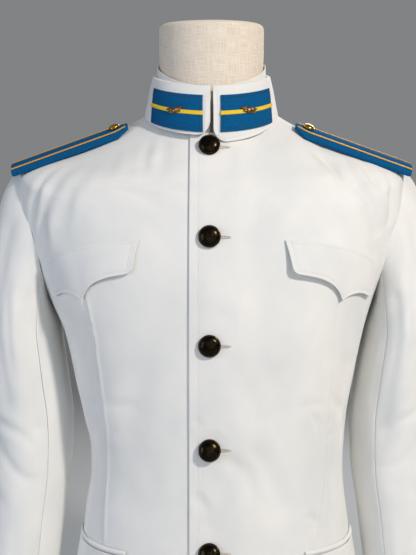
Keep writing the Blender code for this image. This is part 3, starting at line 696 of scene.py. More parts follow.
# Meshes
def cloth_uv(rows):
    """Distances along a patch's columns and rows, in metres from its middle column and first row."""
    across = np.linalg.norm(np.diff(rows, axis=1), axis=-1)
    across = np.concatenate((np.zeros((len(rows), 1)), np.cumsum(across, axis=1)), axis=1)
    along = np.linalg.norm(np.diff(rows, axis=0), axis=-1).mean(axis=1)
    along = np.concatenate(([0.0], np.cumsum(along)))
    across = across - across[:, :1].mean()
    return np.stack((across, along[:, None] + 0 * across), axis=-1) * MM


def placed(name, data):
    """A new object in the scene."""
    made = bpy.data.objects.new(name, data)
    bpy.context.scene.collection.objects.link(made)
    return made


def baked(made):
    """An object's mesh with its modifiers in it. The object itself goes."""
    graph = bpy.context.evaluated_depsgraph_get()
    mesh = bpy.data.meshes.new_from_object(made.evaluated_get(graph))
    bpy.data.objects.remove(made)
    return mesh


def finished(made, finish, node=None):
    """Gives a piece its finish, and puts it in place of its CAD node."""
    made.data.materials.clear()
    made.data.materials.append(finish)
    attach(made, ROOT)
    if node:
        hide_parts(node)
    return made


def patch(name, rows, closed=False):
    """A smooth mesh through rows of points in millimetres, with a UV map in metres."""
    rows = np.asarray(rows, float) if name.startswith("sleeve") else tucked(rows)
    height, width = rows.shape[:2]
    corner = (np.arange(height - 1)[:, None] * width + np.arange(width - 1)).ravel()
    faces = np.stack((corner, corner + 1, corner + 1 + width, corner + width), axis=1)
    mesh = bpy.data.meshes.new(name)
    mesh.from_pydata((rows.reshape(-1, 3) * MM).tolist(), [], faces.tolist())
    places = cloth_uv(rows).reshape(-1, 2)[faces.ravel()]
    mesh.uv_layers.new(name="UVMap").data.foreach_set("uv", places.astype(np.float32).ravel())
    if closed:
        work = bmesh.new()
        work.from_mesh(mesh)
        bmesh.ops.remove_doubles(work, verts=work.verts, dist=0.00001)
        work.to_mesh(mesh)
        work.free()
    mesh.shade_smooth()
    return placed(name, mesh)


def walled(made, thick, edge=0.45):
    """Gives a patch its thickness, behind its outer face, and softly rounded edges."""
    shell = made.modifiers.new("Thickness", "SOLIDIFY")
    shell.thickness = thick * MM
    shell.offset = -1
    rounded = made.modifiers.new("Edge", "BEVEL")
    rounded.width = edge * MM
    rounded.segments = 2
    rounded.limit_method = "ANGLE"
    rounded.angle_limit = math.radians(50)
    return made


def sided(rows, flip):
    """Rows drawn on the wearer's left, or put on the right by flip -1, outer face outwards."""
    return rows if flip > 0 else rows[:, ::-1] * (-1, 1, 1)


def cloth_piece(
    node, rows, flip=1, thick=SHELL, finish=WHITE
):
    """A piece of cloth in place of a CAD node, from rows drawn on the wearer's left."""
    name = node + ("_felt" if finish is BLUE else "_cloth")
    rows = sided(rows, flip)
    made = finished(walled(patch(name, rows), thick), finish, node)


def stitch_tree():
    """Geometry Nodes: a row of stitches along each line of a mesh, lying on its surface."""
    tree = bpy.data.node_groups.new("stitch_row", "GeometryNodeTree")
    sizes = [(name, "Float") for name in ("Pitch", "Length", "Width", "Height")]
    for name, kind in (("Geometry", "Geometry"), *sizes, ("Thread", "Material")):
        tree.interface.new_socket(name, in_out="INPUT", socket_type="NodeSocket" + kind)
    tree.interface.new_socket("Geometry", in_out="OUTPUT", socket_type="NodeSocketGeometry")

    def first(kind, inputs=None, **settings):
        return add(tree, kind, inputs, **settings).outputs[0]

    given = add(tree, "NodeGroupInput").outputs
    line = first("GeometryNodeMeshToCurve", {"Mesh": given["Geometry"]})
    spaced = first("GeometryNodeResampleCurve", {"Curve": line, "Length": given["Pitch"]}, mode="LENGTH")
    bead = first("GeometryNodeMeshIcoSphere", {"Radius": 0.5, "Subdivisions": 1})
    size = first("ShaderNodeCombineXYZ", {"X": given["Length"], "Y": given["Width"], "Z": given["Height"]})
    one = first("GeometryNodeTransform", {"Geometry": bead, "Scale": size})
    out = add(tree, "GeometryNodeInputNamedAttribute", {"Name": "out"}, data_type="FLOAT_VECTOR")
    align = "FunctionNodeAlignRotationToVector"
    lying = first(align, {"Vector": first("GeometryNodeInputTangent")}, axis="X")
    facing = {"Rotation": lying, "Vector": out.outputs["Attribute"]}
    upright = first(align, facing, axis="Z", pivot_axis="X")
    row = first("GeometryNodeInstanceOnPoints", {"Points": spaced, "Instance": one, "Rotation": upright})
    real = first("GeometryNodeRealizeInstances", {"Geometry": row})
    soft = first("GeometryNodeSetShadeSmooth", {"Geometry": real})
    coloured = first("GeometryNodeSetMaterial", {"Geometry": soft, "Material": given["Thread"]})
    add(tree, "NodeGroupOutput", {"Geometry": coloured})
    return tree


STITCH_ROW = stitch_tree()
STITCH_LINES = []
STITCH_LIFT = 0.15


def stitched(name, lines, colour, pitch=3.0, length=2.3, width=0.55, height=0.5):
    """Rows of stitches along lines. Each line is its points and its outward directions."""
    points, outs, edges = [], [], []
    for line, out in lines:
        first = len(points)
        points += (np.asarray(line, float) * MM).tolist()
        outs += np.broadcast_to(out, np.shape(line)).tolist()
        edges += [(i, i + 1) for i in range(first, len(points) - 1)]
    mesh = bpy.data.meshes.new(name + "_lines")
    mesh.from_pydata(points, edges, [])
    way = mesh.attributes.new("out", "FLOAT_VECTOR", "POINT")
    way.data.foreach_set("vector", np.array(outs, np.float32).ravel())
    guide = placed(name + "_lines", mesh)
    rows = guide.modifiers.new("Stitches", "NODES")
    rows.node_group = STITCH_ROW
    sizes = {"Pitch": pitch, "Length": length, "Width": width, "Height": height}
    values = {size: value * MM for size, value in sizes.items()} | {"Thread": colour}
    for item in STITCH_ROW.interface.items_tree:
        if item.in_out == "INPUT" and item.name in values:
            rows[item.identifier] = values[item.name]
    finished(placed(name, baked(guide)), colour)


def sew(points, normals):
    """Adds a line of white topstitching, a little proud of the cloth."""
    STITCH_LINES.append((tucked(points + normals * STITCH_LIFT), normals))


def sew_body(angle, level, lift=0.0, flip=1, fine=True):
    """Adds a line of white topstitching on the body's cloth."""
    way = (flip, 1, 1)
    sew(cloth(angle, level, lift, flip, fine) * way, body_normal(angle, level) * way)


# The body's panels
PLACKET = 9.5
HEM_STITCHES = HEM_LEVEL + 24


def front_panels():
    """The two fronts. The wearer's left front laps over the right one and is stitched along its edge."""
    levels = panel_levels(3.4)[:, None]
    edge = side_edge(levels)
    outer = edge - half_gap(edge, levels)
    middle = [angle_at_x(x, levels) for x in (-EDGE_X, -EDGE_X + 0.8, *np.arange(-20, 46, 3.4), 48)]
    rest = middle[-1] + (outer - middle[-1]) * np.linspace(0, 1, 62)[1:]
    angles = np.concatenate((*middle, rest), axis=1)
    x = body(angles, levels)[..., 0]
    seam = 0.45 * np.exp(-(((x + EDGE_X - PLACKET) / 1.3) ** 2))
    for word, flip in SIDES:
        lift = overlap_lift(x) - seam if flip > 0 else 0.0
        cloth_piece("front_" + word, cloth(angles, levels, lift, flip), flip)
    line = levels[:, 0]
    sew_body(angle_at_x(-EDGE_X + PLACKET, line), line, overlap_lift(-EDGE_X) - 0.45)
    for first, flip in ((-EDGE_X, 1), (10, -1)):
        hem = np.linspace(first, SIDE_SEAM - 1, 60)
        level = np.full(hem.shape, HEM_STITCHES)
        sew_body(hem, level, overlap_lift(body(hem, level)[..., 0]) if flip > 0 else 0.0, flip)


def back_panels():
    """The two backs, joined at the centre back seam."""
    levels = panel_levels(4.0)[:, None]
    edge = 180 - side_edge(levels)
    first = edge + half_gap(edge, levels)
    last = 180 - half_gap(180.0, levels)
    angles = first + (last - first) * np.linspace(0, 1, 60)
    hem = np.linspace(180 - SIDE_SEAM + 1, 179, 60)
    for word, flip in SIDES:
        cloth_piece("back_" + word, cloth(angles, levels, 0.0, flip), flip)
        sew_body(hem, np.full(hem.shape, HEM_STITCHES), 0.0, flip)


def side_panels():
    """The narrow panel under each arm, up to the armhole's lower edge."""
    shares = np.linspace(0, 1, 34)
    below = np.linspace(HEM_LEVEL, 503, 118)
    seam = SIDE_SEAM + half_gap(SIDE_SEAM, below)
    angles = seam[:, None] + (180 - 2 * seam[:, None]) * shares
    levels = np.repeat(below[:, None], len(shares), axis=1)
    top = lower_armhole_level(angles[-1])
    steps = np.linspace(0, 1, 16)[1:, None]
    levels = np.concatenate((levels, below[-1] + steps * (top - below[-1])))
    angles = np.concatenate((angles, np.repeat(angles[-1:], len(steps), axis=0)))
    for word, flip in SIDES:
        cloth_piece("side_" + word, cloth(angles, levels, 0.0, flip), flip)


# The sleeves
CUFF_STITCHES = np.array([[1.93]])


def sleeve_ring(turn, z):
    """The sleeve tube below the biceps: turn 0 outside, 90 in front, 180 next to the body."""
    turn = np.radians(turn)
    col = {n: smooth(SLEEVE, n, z) for n in SLEEVE if n != "z"}
    return np.stack(
        np.broadcast_arrays(
            col["centre_x"] + col["half_x"] * np.cos(turn),
            col["centre_y"] - col["half_y"] * np.sin(turn),
            z + 0 * turn,
        ),
        axis=-1,
    )


def sleeve_start(turn):
    """The sleeve head's edge, one seam gap off the armhole, and the way that it sets off."""
    angle, level = armhole(turn)
    edge = cloth(angle, level, fine=False)
    normal = body_normal(angle, level)
    run = cloth(*armhole(turn + 1), fine=False) - cloth(*armhole(turn - 1), fine=False)
    across = unit(np.cross(normal, run))
    below = (1 - np.cos(np.radians(turn)))[..., None] / 2
    start = edge - (0.8 * across + 0.7 * normal) * (1 - below) + 0.4 * normal * below
    slope = np.radians(68 * (1 - below) ** 0.8)
    out = np.concatenate((np.sin(slope), 0 * slope, -np.cos(slope)), axis=-1)
    return start, out


def sleeve_surface(turn, station):
    """The sleeve's outer face. Station 0 to 1 is the cap, and 1 to 2 the tube to the cuff."""
    turn, station = np.broadcast_arrays(turn, station)
    start, out = sleeve_start(turn)
    end = sleeve_ring(turn, np.full(turn.shape, BICEPS_Z))
    reach = np.linalg.norm(end - start, axis=-1, keepdims=True)
    t = np.clip(station, 0, 1)[..., None]
    down = np.array((0.0, 0.0, -1.0))
    cap = (
        (2 * t**3 - 3 * t**2 + 1) * start
        + (t**3 - 2 * t**2 + t) * out * reach * CAP_FULLNESS
        + (3 * t**2 - 2 * t**3) * end
        + (t**3 - t**2) * down * reach
    )
    z = BICEPS_Z + (CUFF_Z - BICEPS_Z) * np.clip(station - 1, 0, 1)
    tube = sleeve_ring(turn, z)
    return np.where((station <= 1)[..., None], cap, tube)


def sleeve_cloth(turn, station, side, lift=0.0):
    """The sleeve's draped face and its normals, still on the wearer's left."""
    points = sleeve_surface(turn, station)
    round_it = sleeve_surface(turn + 1, station) - sleeve_surface(turn - 1, station)
    near = np.clip(station, 0.01, 1.99)
    down_it = sleeve_surface(turn, near + 0.01) - sleeve_surface(turn, near - 0.01)
    normals = unit(np.cross(round_it, down_it))
    arc = np.broadcast_to(np.mod(turn, 360), points.shape[:2])
    height = points[..., 2]
    folds = fold_depth(arc, height, SLEEVE_FOLDS)
    folds += crease_depth(arc + 6 * (side < 0), height + 14 * (side < 0), SLEEVE_CREASES)
    held = ramp(0.0, 0.35, station)
    seam = (1 - ramp(0, 0.2, station)) * (1 + np.cos(np.radians(turn))) / 2
    normals = unit(normals + (body_normal(*armhole(turn)) - normals) * seam[..., None])
    return points + normals * (lift - folds * held)[..., None], normals


def sleeves():
    """Each sleeve is an upper and an under sleeve, with a turned and stitched cuff edge."""
    front, back = SEAM_TURN - SLEEVE_SEAM_TURN, 360 - SEAM_TURN + SLEEVE_SEAM_TURN
    upper = np.linspace(back, 360 + front, 96)
    under = np.linspace(SEAM_TURN + SLEEVE_SEAM_TURN, 360 - SEAM_TURN - SLEEVE_SEAM_TURN, 26)
    stations = np.concatenate((np.linspace(0, 1, 48) ** 1.3, np.linspace(1, 2, 116)[1:]))[:, None]
    for part, arcs in (("upper", upper), ("under", under)):
        for word, flip in SIDES:
            points, _ = sleeve_cloth(arcs[None, :], stations, flip)
            cloth_piece(f"sleeve_{part}_{word}", points, flip)
            line, out = sleeve_cloth(arcs[None, :], CUFF_STITCHES, flip, STITCH_LIFT)
            STITCH_LINES.append((line[0] * (flip, 1, 1), out[0] * (flip, 1, 1)))


# The collar
STAND_TOP = {"half_width": 66.0, "front": 72.0, "back": 66.0}
STAND_TOP_Z = {"front": 773.0, "side": 803.0, "back": 822.0}
COLLAR_GAP = 1.6
FOLD_WIDTH = 4.9
FOLDED = FOLD_WIDTH - COLLAR_CLOTH
FALL_SPREAD = {"front": 10.5, "back": 4.6}
CORNER_ANGLE, CORNER_HEIGHT = 8.5, 15.0
LINER_RISE = {"front": 4.0, "side": 15.5}
LINER_GAP = 0.9
FALL_INSET = 4.0


def collar_frame(angle):
    """Foot and top of the stand's outer face at an angle, and the way out from the neck."""
    turn = np.radians(angle)
    s, c = np.sin(turn), np.cos(turn)
    foot = body(angle, NECK_LEVEL)
    depth = np.where(c > 0, STAND_TOP["front"], STAND_TOP["back"])
    tilt = (STAND_TOP_Z["back"] - STAND_TOP_Z["front"]) / 2
    drop = STAND_TOP_Z["side"] - (STAND_TOP_Z["back"] + STAND_TOP_Z["front"]) / 2
    height = STAND_TOP_Z["side"] - tilt * c - drop * c * c
    top = np.stack((STAND_TOP["half_width"] * s, -depth * c, height), axis=-1)
    out = unit(np.stack((s / STAND_TOP["front"], -c / depth, 0 * s), axis=-1))
    return foot, top, out


def on_stand(angle, away, rise):
    """A point at a distance out from the stand's outer face and a rise above its foot."""
    foot, top, out = collar_frame(angle)
    climb = unit(top - foot)
    return foot + climb * np.asarray(rise)[..., None] + out * np.asarray(away)[..., None]


def stand_height(angle):
    foot, top, _ = collar_frame(angle)
    return np.linalg.norm(top - foot, axis=-1)


def from_front(angle):
    """The angle's distance from the centre front, either way round."""
    return np.abs((angle + 180) % 360 - 180)


def fall_drop(angle):
    """How far below the neck seam the fall hangs, with rounded front corners."""
    turn = from_front(angle)
    in_front = 1 - ramp(10, 75, turn)
    left = 1 - ramp(0, 75, angle)
    corner = np.clip(1 - (turn - 1.5) / CORNER_ANGLE, 0, 1)
    rounded = CORNER_HEIGHT * (1 - np.sqrt(1 - corner**2))
    return 1.0 + in_front * 2.0 + 8.0 * left - rounded


def fall_spread(angle):
    """How far the fall's lower edge stands out from the stand."""
    return between(FALL_SPREAD, ramp(12, 66, from_front(angle)))


def fall_away(angle, up):
    """How far the fall's outer face stands out, from its lower edge (0) up to the fold (1)."""
    out = np.interp(up, (0, 0.3, 0.65, 1), (1, 0.86, 0.7, 0.0))
    out = out * (1 - ramp(0.65, 1, up)) + (1 - up) * 2 * ramp(0.65, 1, up)
    return FOLDED + (fall_spread(angle) - FOLDED) * out


def fall_rows(angle):
    """The fall's outer face, from its lower edge up over the fold and down inside."""
    height, drop = stand_height(angle), fall_drop(angle)
    radius = FOLD_WIDTH / 2
    centre = height - radius
    rows = []
    for up in np.linspace(0, 1, 22)[:-1]:
        rows.append(on_stand(angle, fall_away(angle, up), -drop + up * (centre + drop)))
    for arc in np.radians(np.linspace(0, 180, 13)):
        away = radius - COLLAR_CLOTH + radius * math.cos(arc) + 0 * height
        rows.append(on_stand(angle, away, centre + radius * math.sin(arc)))
    return np.array(rows)


def on_fall(angle, rise_share, lift):
    """A point on the fall's outer face, moved out by lift. The share is of the stand's height."""
    height, drop = stand_height(angle), fall_drop(angle)
    rise = rise_share * height
    up = np.clip((rise + drop) / (height - FOLD_WIDTH / 2 + drop), 0, 1)
    return on_stand(angle, fall_away(angle, up) + lift, rise)


def fall_out(angle, rise_share):
    """The fall's outward normal."""
    round_it = on_fall(angle + 0.5, rise_share, 0) - on_fall(angle - 0.5, rise_share, 0)
    up_it = on_fall(angle, rise_share + 0.01, 0) - on_fall(angle, rise_share - 0.01, 0)
    return unit(np.cross(round_it, up_it))


def collar():
    """Stand, fall and liner. The fall folds over the stand, and its edge is topstitched."""
    gap = math.degrees(COLLAR_GAP / STAND_TOP["front"])
    near = gap + np.array((0.0, 0.5, 1.2, 2.0, 3.0, 4.2, 5.5, 7.0, 8.6, 10.4, 12.5, 15))
    angles = np.concatenate((near, np.linspace(17.5, 342.5, 120), 360 - near[::-1]))
    height = stand_height(angles)
    rows = [on_stand(angles, 0 * height, height * share) for share in np.linspace(0.012, 0.93, 12)]
    cloth_piece("collar_stand", rows)
    cloth_piece("collar_fall", fall_rows(angles), thick=1.5)
    side = np.clip(1 - np.cos(np.radians(angles)), 0, 1)
    rise = between(LINER_RISE, side)
    away = -COLLAR_CLOTH - LINER_GAP + 0 * height
    rows = [on_stand(angles, away, height * share) for share in np.linspace(0.33, 0.93, 8)]
    upright = rise[:, None] * np.array((0, 0, 1))
    rows += [rows[-1] + upright * share for share in np.linspace(0, 1, 8)[1:]]
    cloth_piece("collar_liner", rows, thick=1.1)
    for end in (0, 1):
        round_it = np.linspace(gap + 3.2, 130.0, 120)
        round_it = round_it if end == 0 else 360 - round_it
        share = (FALL_INSET - fall_drop(round_it)) / stand_height(round_it)
        sew(on_fall(round_it, share, 0), fall_out(round_it, share))
        up = np.linspace(share[0], 0.86, 24)
        edge = np.full(up.shape, round_it[0])
        sew(on_fall(edge, up, 0), fall_out(edge, up))


# The collar tabs
TAB_INNER = {"bottom": 5.5, "top": 7.0}
TAB_OUTER = {"bottom": 51.0, "top": 62.0}
TAB_BOTTOM, TAB_TOP = 0.0, 0.77
TAB_MIDDLE = (TAB_BOTTOM + TAB_TOP) / 2
TAB_SIZE = (72.0, 50.0)
TAB_SEWN = 3.2
TAB_LIFT = 0.5 + 1.5
STRIPE_HALF = 0.042
STRIPE_LIFT = TAB_LIFT + SEAM_GAP + 0.5
BADGE_ANGLE = 27.3
# A badge's leaves: way round, length and width.
LEAVES = ((14, 10.3, 2.7), (-14, 7.6, 2.2), (166, 10.3, 2.7), (194, 7.6, 2.2))


def tab_angle(share, up, flip):
    """The angle at a share of the tab's width, whose ends stand nearly upright."""
    climb = (up - TAB_BOTTOM) / (TAB_TOP - TAB_BOTTOM)
    sides = {"inner": between(TAB_INNER, climb), "outer": between(TAB_OUTER, climb)}
    return flip * between(sides, share) % 360


def collar_tabs():
    """Blue felt patches with a yellow stripe, each sewn down with navy thread inside its edge."""
    lines = []
    wide, tall = TAB_SIZE
    left, low = TAB_SEWN / wide, TAB_BOTTOM + TAB_SEWN / tall
    right, high = 1 - left, TAB_TOP - TAB_SEWN / tall
    corners = ((left, low), (right, low), (right, high), (left, high), (left, low))
    shares = np.linspace(0, 1, 40)
    for word, flip in SIDES:
        share, up = np.broadcast_arrays(shares, np.linspace(TAB_BOTTOM, TAB_TOP, 24)[:, None])
        above = np.minimum(up - TAB_BOTTOM, TAB_TOP - up) * tall
        edge = np.minimum(np.minimum(share, 1 - share) * wide, above)
        sunk = 0.6 * np.exp(-(((edge - TAB_SEWN) / 0.9) ** 2)) + 0.5 * np.exp(-edge / 0.8)
        rows = on_fall(tab_angle(share, up, flip), up, TAB_LIFT + 0.35 - sunk)[:, ::flip]
        cloth_piece(f"tab_{word}", rows, 1, 1.5, BLUE)
        share, up = np.broadcast_arrays(shares, TAB_MIDDLE + STRIPE_HALF * np.linspace(-1, 1, 7)[:, None])
        crown = 0.3 * (1 - ((up - TAB_MIDDLE) / STRIPE_HALF) ** 2)
        rows = on_fall(tab_angle(share, up, flip), up, STRIPE_LIFT + crown)[:, ::flip]
        made = walled(patch(f"tab_stripe_{word}_braid", rows), 0.7, 0.2)
        finished(made, YELLOW, f"tab_stripe_{word}")
        for (s0, u0), (s1, u1) in zip(corners, corners[1:]):
            up = np.linspace(u0, u1, 40)
            angle = tab_angle(np.linspace(s0, s1, 40), up, flip)
            lines.append((on_fall(angle, up, TAB_LIFT), fall_out(angle, up)))
    stitched("tab_stitching", lines, BLUE_THREAD, 2.1, 1.8, 0.85, 0.6)


def leaf(length, width, thick):
    """Rows of a small leaf with a raised midrib, pointing along +X."""
    rows = []
    for v in np.linspace(-1, 1, 9):
        t = np.linspace(0, 1, 14)
        half = width * np.sin(np.pi * t**0.75) ** 0.9
        ribs = 0.16 * np.cos(9 * np.pi * (t - 0.25 * abs(v))) * (1 - abs(v))
        rows.append(np.stack((t * length, v * half, thick * (1 - 0.75 * abs(v)) + ribs), axis=-1))
    return np.array(rows)


def to_place(points, foot, normal):
    """Points of a small piece, drawn on XY, put at a foot with +Z along the normal."""
    z = Vector(normal).normalized()
    x = Vector((0, 0, 1)).cross(z).normalized()
    turn = np.array((x, z.cross(x), z))
    return np.asarray(points, float) @ turn + np.asarray(foot, float)


def dome_rows(profile, steps):
    """A turned shape's rows, from the outside in, counter-clockwise seen from +Z."""
    turn = np.linspace(0, 2 * np.pi, steps + 1)
    c, s = np.cos(turn), np.sin(turn)
    return np.array([np.stack((r * c, r * s, h + 0 * turn), axis=-1) for r, h in profile])


def badges():
    """A plain pin on each tab: a round boss between two pairs of leaves."""
    lift = STRIPE_LIFT + 0.7
    for word, flip in SIDES:
        angle, middle = np.array(flip * BADGE_ANGLE), np.array(TAB_MIDDLE)
        foot = on_fall(angle, middle, lift)
        normal = on_fall(angle, middle, lift + 9.0) - foot
        pieces = []
        for number, (tilt, length, width) in enumerate(LEAVES):
            c, s = math.cos(math.radians(tilt)), math.sin(math.radians(tilt))
            rows = leaf(length, width, 1.0) @ np.array(((c, s, 0), (-s, c, 0), (0, 0, 1)))
            pieces.append(walled(patch(f"leaf_{number}", to_place(rows, foot, normal)), 0.6, 0.12))
        boss = [(3.3 * math.cos(a), 0.3 + 1.9 * math.sin(a)) for a in np.linspace(-0.3, math.pi / 2, 9)]
        pieces.append(patch("boss", to_place(dome_rows(boss, 24), foot, normal), closed=True))
        work = bmesh.new()
        for piece in pieces:
            work.from_mesh(baked(piece))
        mesh = bpy.data.meshes.new(f"badge_{word}_pin")
        work.to_mesh(mesh)
        work.free()
        mesh.shade_smooth()
        finished(placed(mesh.name, mesh), BRASS, f"badge_{word}")


# Buttons and buttonholes
HOLE_HALF = (12.0, 1.1)
# How the fourth and fifth buttons hang askew: across and upward.
BUTTON_TILTS = {4: (0.10, 0.34), 5: (-0.12, 0.42)}


def button_profile(radius, height, rim):
    """A domed button: plain crown, a fine groove, a rolled rim and a flat back."""
    rows = [(0.0, 0.0), (radius * 0.7, 0.0), (radius * 0.93, 0.7)]
    for a in np.linspace(0.3, 2.6, 7):
        rows.append((radius * (0.955 + 0.045 * math.sin(a)), rim - 0.75 * math.cos(a)))
    rows.append((radius * 0.93, rim + 0.42))
    for s in np.linspace(0.92, 0.0, 18):
        rise = (height - rim - 0.5) * math.sqrt(max(0.0, 1 - (s / 0.94) ** 2))
        rows.append((radius * s, rim + 0.5 + rise))
    return rows


def front_place(x, z, lift):
    """Points on the left front at x and height z, with the way out from the cloth there."""
    x, z = np.broadcast_arrays(np.asarray(x, float), np.asarray(z, float))
    high = np.minimum(z + 60.0, NECK_LEVEL)
    level = search(z - 5.0, high, 23, lambda level: body(angle_at_x(x, level), level)[..., 2] < z)
    angle = angle_at_x(x, level)
    return cloth(angle, level, overlap_lift(x) + lift), body_normal(angle, level)


def buttons():
    """Five domed buttons on their shanks, which face between the cloth's way out and the front."""
    for number, z in enumerate(BUTTON_HEIGHTS, 1):
        point, normal = front_place(BUTTON_X, z, 0.0)
        facing = unit(normal + np.array((0, -1.0, 0)))
        lean = math.sqrt(1 - min(1, float(np.dot(normal, facing))) ** 2)
        foot = point + normal * (SEAM_GAP + 0.62 * BUTTON_RADIUS * lean)
        across, upward = BUTTON_TILTS.get(number, (0.0, 0.0))
        facing = unit(facing + np.array((across, 0, upward)) * 0.6)
        foot = foot + facing * (0.5 if number in BUTTON_TILTS else 0.0)
        foot = foot + normal * BUTTON_RADIUS * 0.55 * (upward * 0.6)
        rows = to_place(dome_rows(button_profile(BUTTON_RADIUS, 7.5, 2.2), 56), foot, facing)
        made = patch(f"button_{number}_dome", rows, closed=True)
        finished(made, BRONZE, f"button_{number}")


def buttonholes():
    """Horizontal buttonholes in the left front, worked over with cream thread."""
    turn = np.linspace(0, 2 * np.pi, 60)
    xs = BUTTON_X + 9.5 + HOLE_HALF[0] * np.cos(turn)
    lines = [front_place(xs, z - 0.6 + HOLE_HALF[1] * np.sin(turn), 0.25) for z in BUTTON_HEIGHTS]
    stitched("buttonhole_stitching", lines, CREAM_THREAD, 0.8, 0.6, 2.2, 0.9)


# The chest flaps, by angle round the body and level, with a pointed lower edge.
CHEST_FLAP = {"inner": 18.0, "outer": 53.0}
CHEST_FLAP_TOP = {"inner": 616.0, "outer": 587.0}
CHEST_FLAP_LEAN = {"inner": 3.0, "outer": 8.0}
CHEST_FLAP_EDGE, CHEST_FLAP_POINT, CHEST_FLAP_CURVE = 42.0, 22.0, 0.17
CHEST_FLAP_CORNER, CHEST_FLAP_TIP, CHEST_FLAP_BOW = 0.07, 0.53, 5.0
HIP_FLAP = {"inner": 34.0, "outer": 96.0, "top": 272.0, "height": 56.0}
WELT_HEIGHT = 6.0
FLAP_LIFT = 0.6 + 1.8
FLAP_EDGE_STITCHES = 4.6
FLAP_TOP_STITCHES = 3.5
HIP_STITCHES = 5.0


def chest_flap_length(share):
    """The flap's length at a share of its width: rounded corners and a point near the middle."""
    point = CHEST_FLAP_POINT * np.exp(-np.abs(share - CHEST_FLAP_TIP) / CHEST_FLAP_CURVE)
    side = np.minimum(share, 1 - share) / CHEST_FLAP_CORNER
    corner = np.clip(1 - side, 0, 1)
    return CHEST_FLAP_EDGE + point - 7 * (1 - np.sqrt(1 - corner**2))


def chest_flap_place(share, down, flip):
    """Angle, level and stand-off of a point on a chest flap. down is 0 at its top and 1 at its edge."""
    angle = between({n: CHEST_FLAP[n] + CHEST_FLAP_LEAN[n] * down for n in CHEST_FLAP}, share)
    top = between(CHEST_FLAP_TOP, share) + CHEST_FLAP_BOW * np.sin(np.pi * share)
    level = top - down * chest_flap_length(share)
    stand_off, inner_off = (2.6, 3.6) if flip > 0 else (1.8, 0.8)
    off = down**1.3 * (stand_off + inner_off * (1 - ramp(0, 0.5, share)))
    return angle, level, FLAP_LIFT + off


def chest_flaps():
    """The flap over each breast pocket. The wearer's left one stands further off the chest."""
    tip = CHEST_FLAP_TIP
    shares = np.concatenate((tip * np.linspace(0, 1, 36), tip + (1 - tip) * np.linspace(0, 1, 26)[1:]))
    share, down = np.broadcast_arrays(shares[None, :], np.linspace(1, 0, 30)[:, None])
    length = chest_flap_length(share)
    edge = np.minimum(np.minimum(share, 1 - share) * 100, (1 - down) * length)
    sunk = 0.45 * np.exp(-(((edge - FLAP_EDGE_STITCHES) / 1.1) ** 2))
    sunk = sunk + 0.3 * np.exp(-(((down * length - FLAP_TOP_STITCHES) / 1.2) ** 2))
    across = np.linspace(0.046, 0.954, 110)
    lower = 1 - FLAP_EDGE_STITCHES / chest_flap_length(across)
    sides = np.linspace(0.05, 1, 40)
    lines = (
        (across, lower),
        (across, FLAP_TOP_STITCHES / chest_flap_length(across)),
        (across[0] + 0 * sides, sides * lower[0]),
        (across[-1] + 0 * sides, sides * lower[-1]),
    )
    for word, flip in SIDES:
        angle, level, lift = chest_flap_place(share, down, flip)
        ripple = 0.15 * np.sin(share * 23 + flip) * np.sin(np.pi * down)
        rows = cloth(angle, level, lift - sunk + ripple, flip, fine=False)
        cloth_piece("chest_flap_" + word, rows, flip, 1.5)
        for line in lines:
            angle, level, lift = chest_flap_place(*line, flip)
            sew_body(angle, level, lift - 0.4, flip, fine=False)


def hip_pockets():
    """A welt and a plain square flap low on each side, over the front and side panels."""
    top, height = HIP_FLAP["top"], HIP_FLAP["height"]
    angles = np.linspace(HIP_FLAP["inner"], HIP_FLAP["outer"], 62)
    downs = np.linspace(1, 0, 22)[:, None]
    levels = top - downs * height + 0 * angles
    edge = np.minimum(np.minimum(angles - angles[0], angles[-1] - angles) * 2.9, (1 - downs) * height)
    sunk = 0.45 * np.exp(-(((edge - HIP_STITCHES) / 1.1) ** 2))
    roll = np.array((0.1, 1.1, 1.9, 2.1, 1.9, 1.1, 0.1))[:, None]
    welt_levels = top + 0.4 + WELT_HEIGHT * np.linspace(0, 1, 7)[:, None] + 0 * angles
    first, last, low = angles[0] + 1.7, angles[-1] - 1.7, top - height + HIP_STITCHES
    for word, flip in SIDES:
        for part, level, lift, thick in (
            ("hip_flap_", levels, FLAP_LIFT + 1.5 * downs - sunk, 1.4),
            ("hip_welt_", welt_levels, 0.9 + roll, 0.9),
        ):
            rows = cloth(angles, level, lift + 0 * level, flip, fine=False)
            cloth_piece(part + word, rows, flip, thick)
        for a0, a1, l1 in ((first, last, low), (first, first, top - 2), (last, last, top - 2)):
            angle, level = np.linspace(a0, a1, 60), np.linspace(low, l1, 60)
            lift = FLAP_LIFT + 1.5 * (top - level) / height - 0.4
            sew_body(angle, level, lift, flip, fine=False)


# The shoulder boards: the crest's inner end, slope, forward tilt and arch.
BOARD_START = np.array((98.0, -8.0, 744.6))
BOARD_SLOPE = 19.8
BOARD_TILT = 26.0
BOARD_ARCH = 50.0
BOARD_TAPER = 14.0
BOARD_CORNER = 3.0
BOARD_BUTTON = 15.0
BRAID_HALF, BRAID_THICK = 1.4, 0.7
BRAID_PLACE = {"inner": 8.0, "outer": 12.5}


def board_point(along, across, lift):
    """A point over a shoulder board. across is negative towards the front."""
    slope = math.radians(BOARD_SLOPE)
    bend = across / BOARD_ARCH - math.radians(BOARD_TILT)
    radius = BOARD_ARCH + lift
    run = np.array((math.cos(slope), 0, -math.sin(slope)))
    crest = BOARD_START + np.asarray(along)[..., None] * run
    level = radius * np.cos(bend) - BOARD_ARCH
    away = np.broadcast_arrays(math.sin(slope) * level, radius * np.sin(bend), math.cos(slope) * level)
    return crest + np.stack(away, axis=-1)


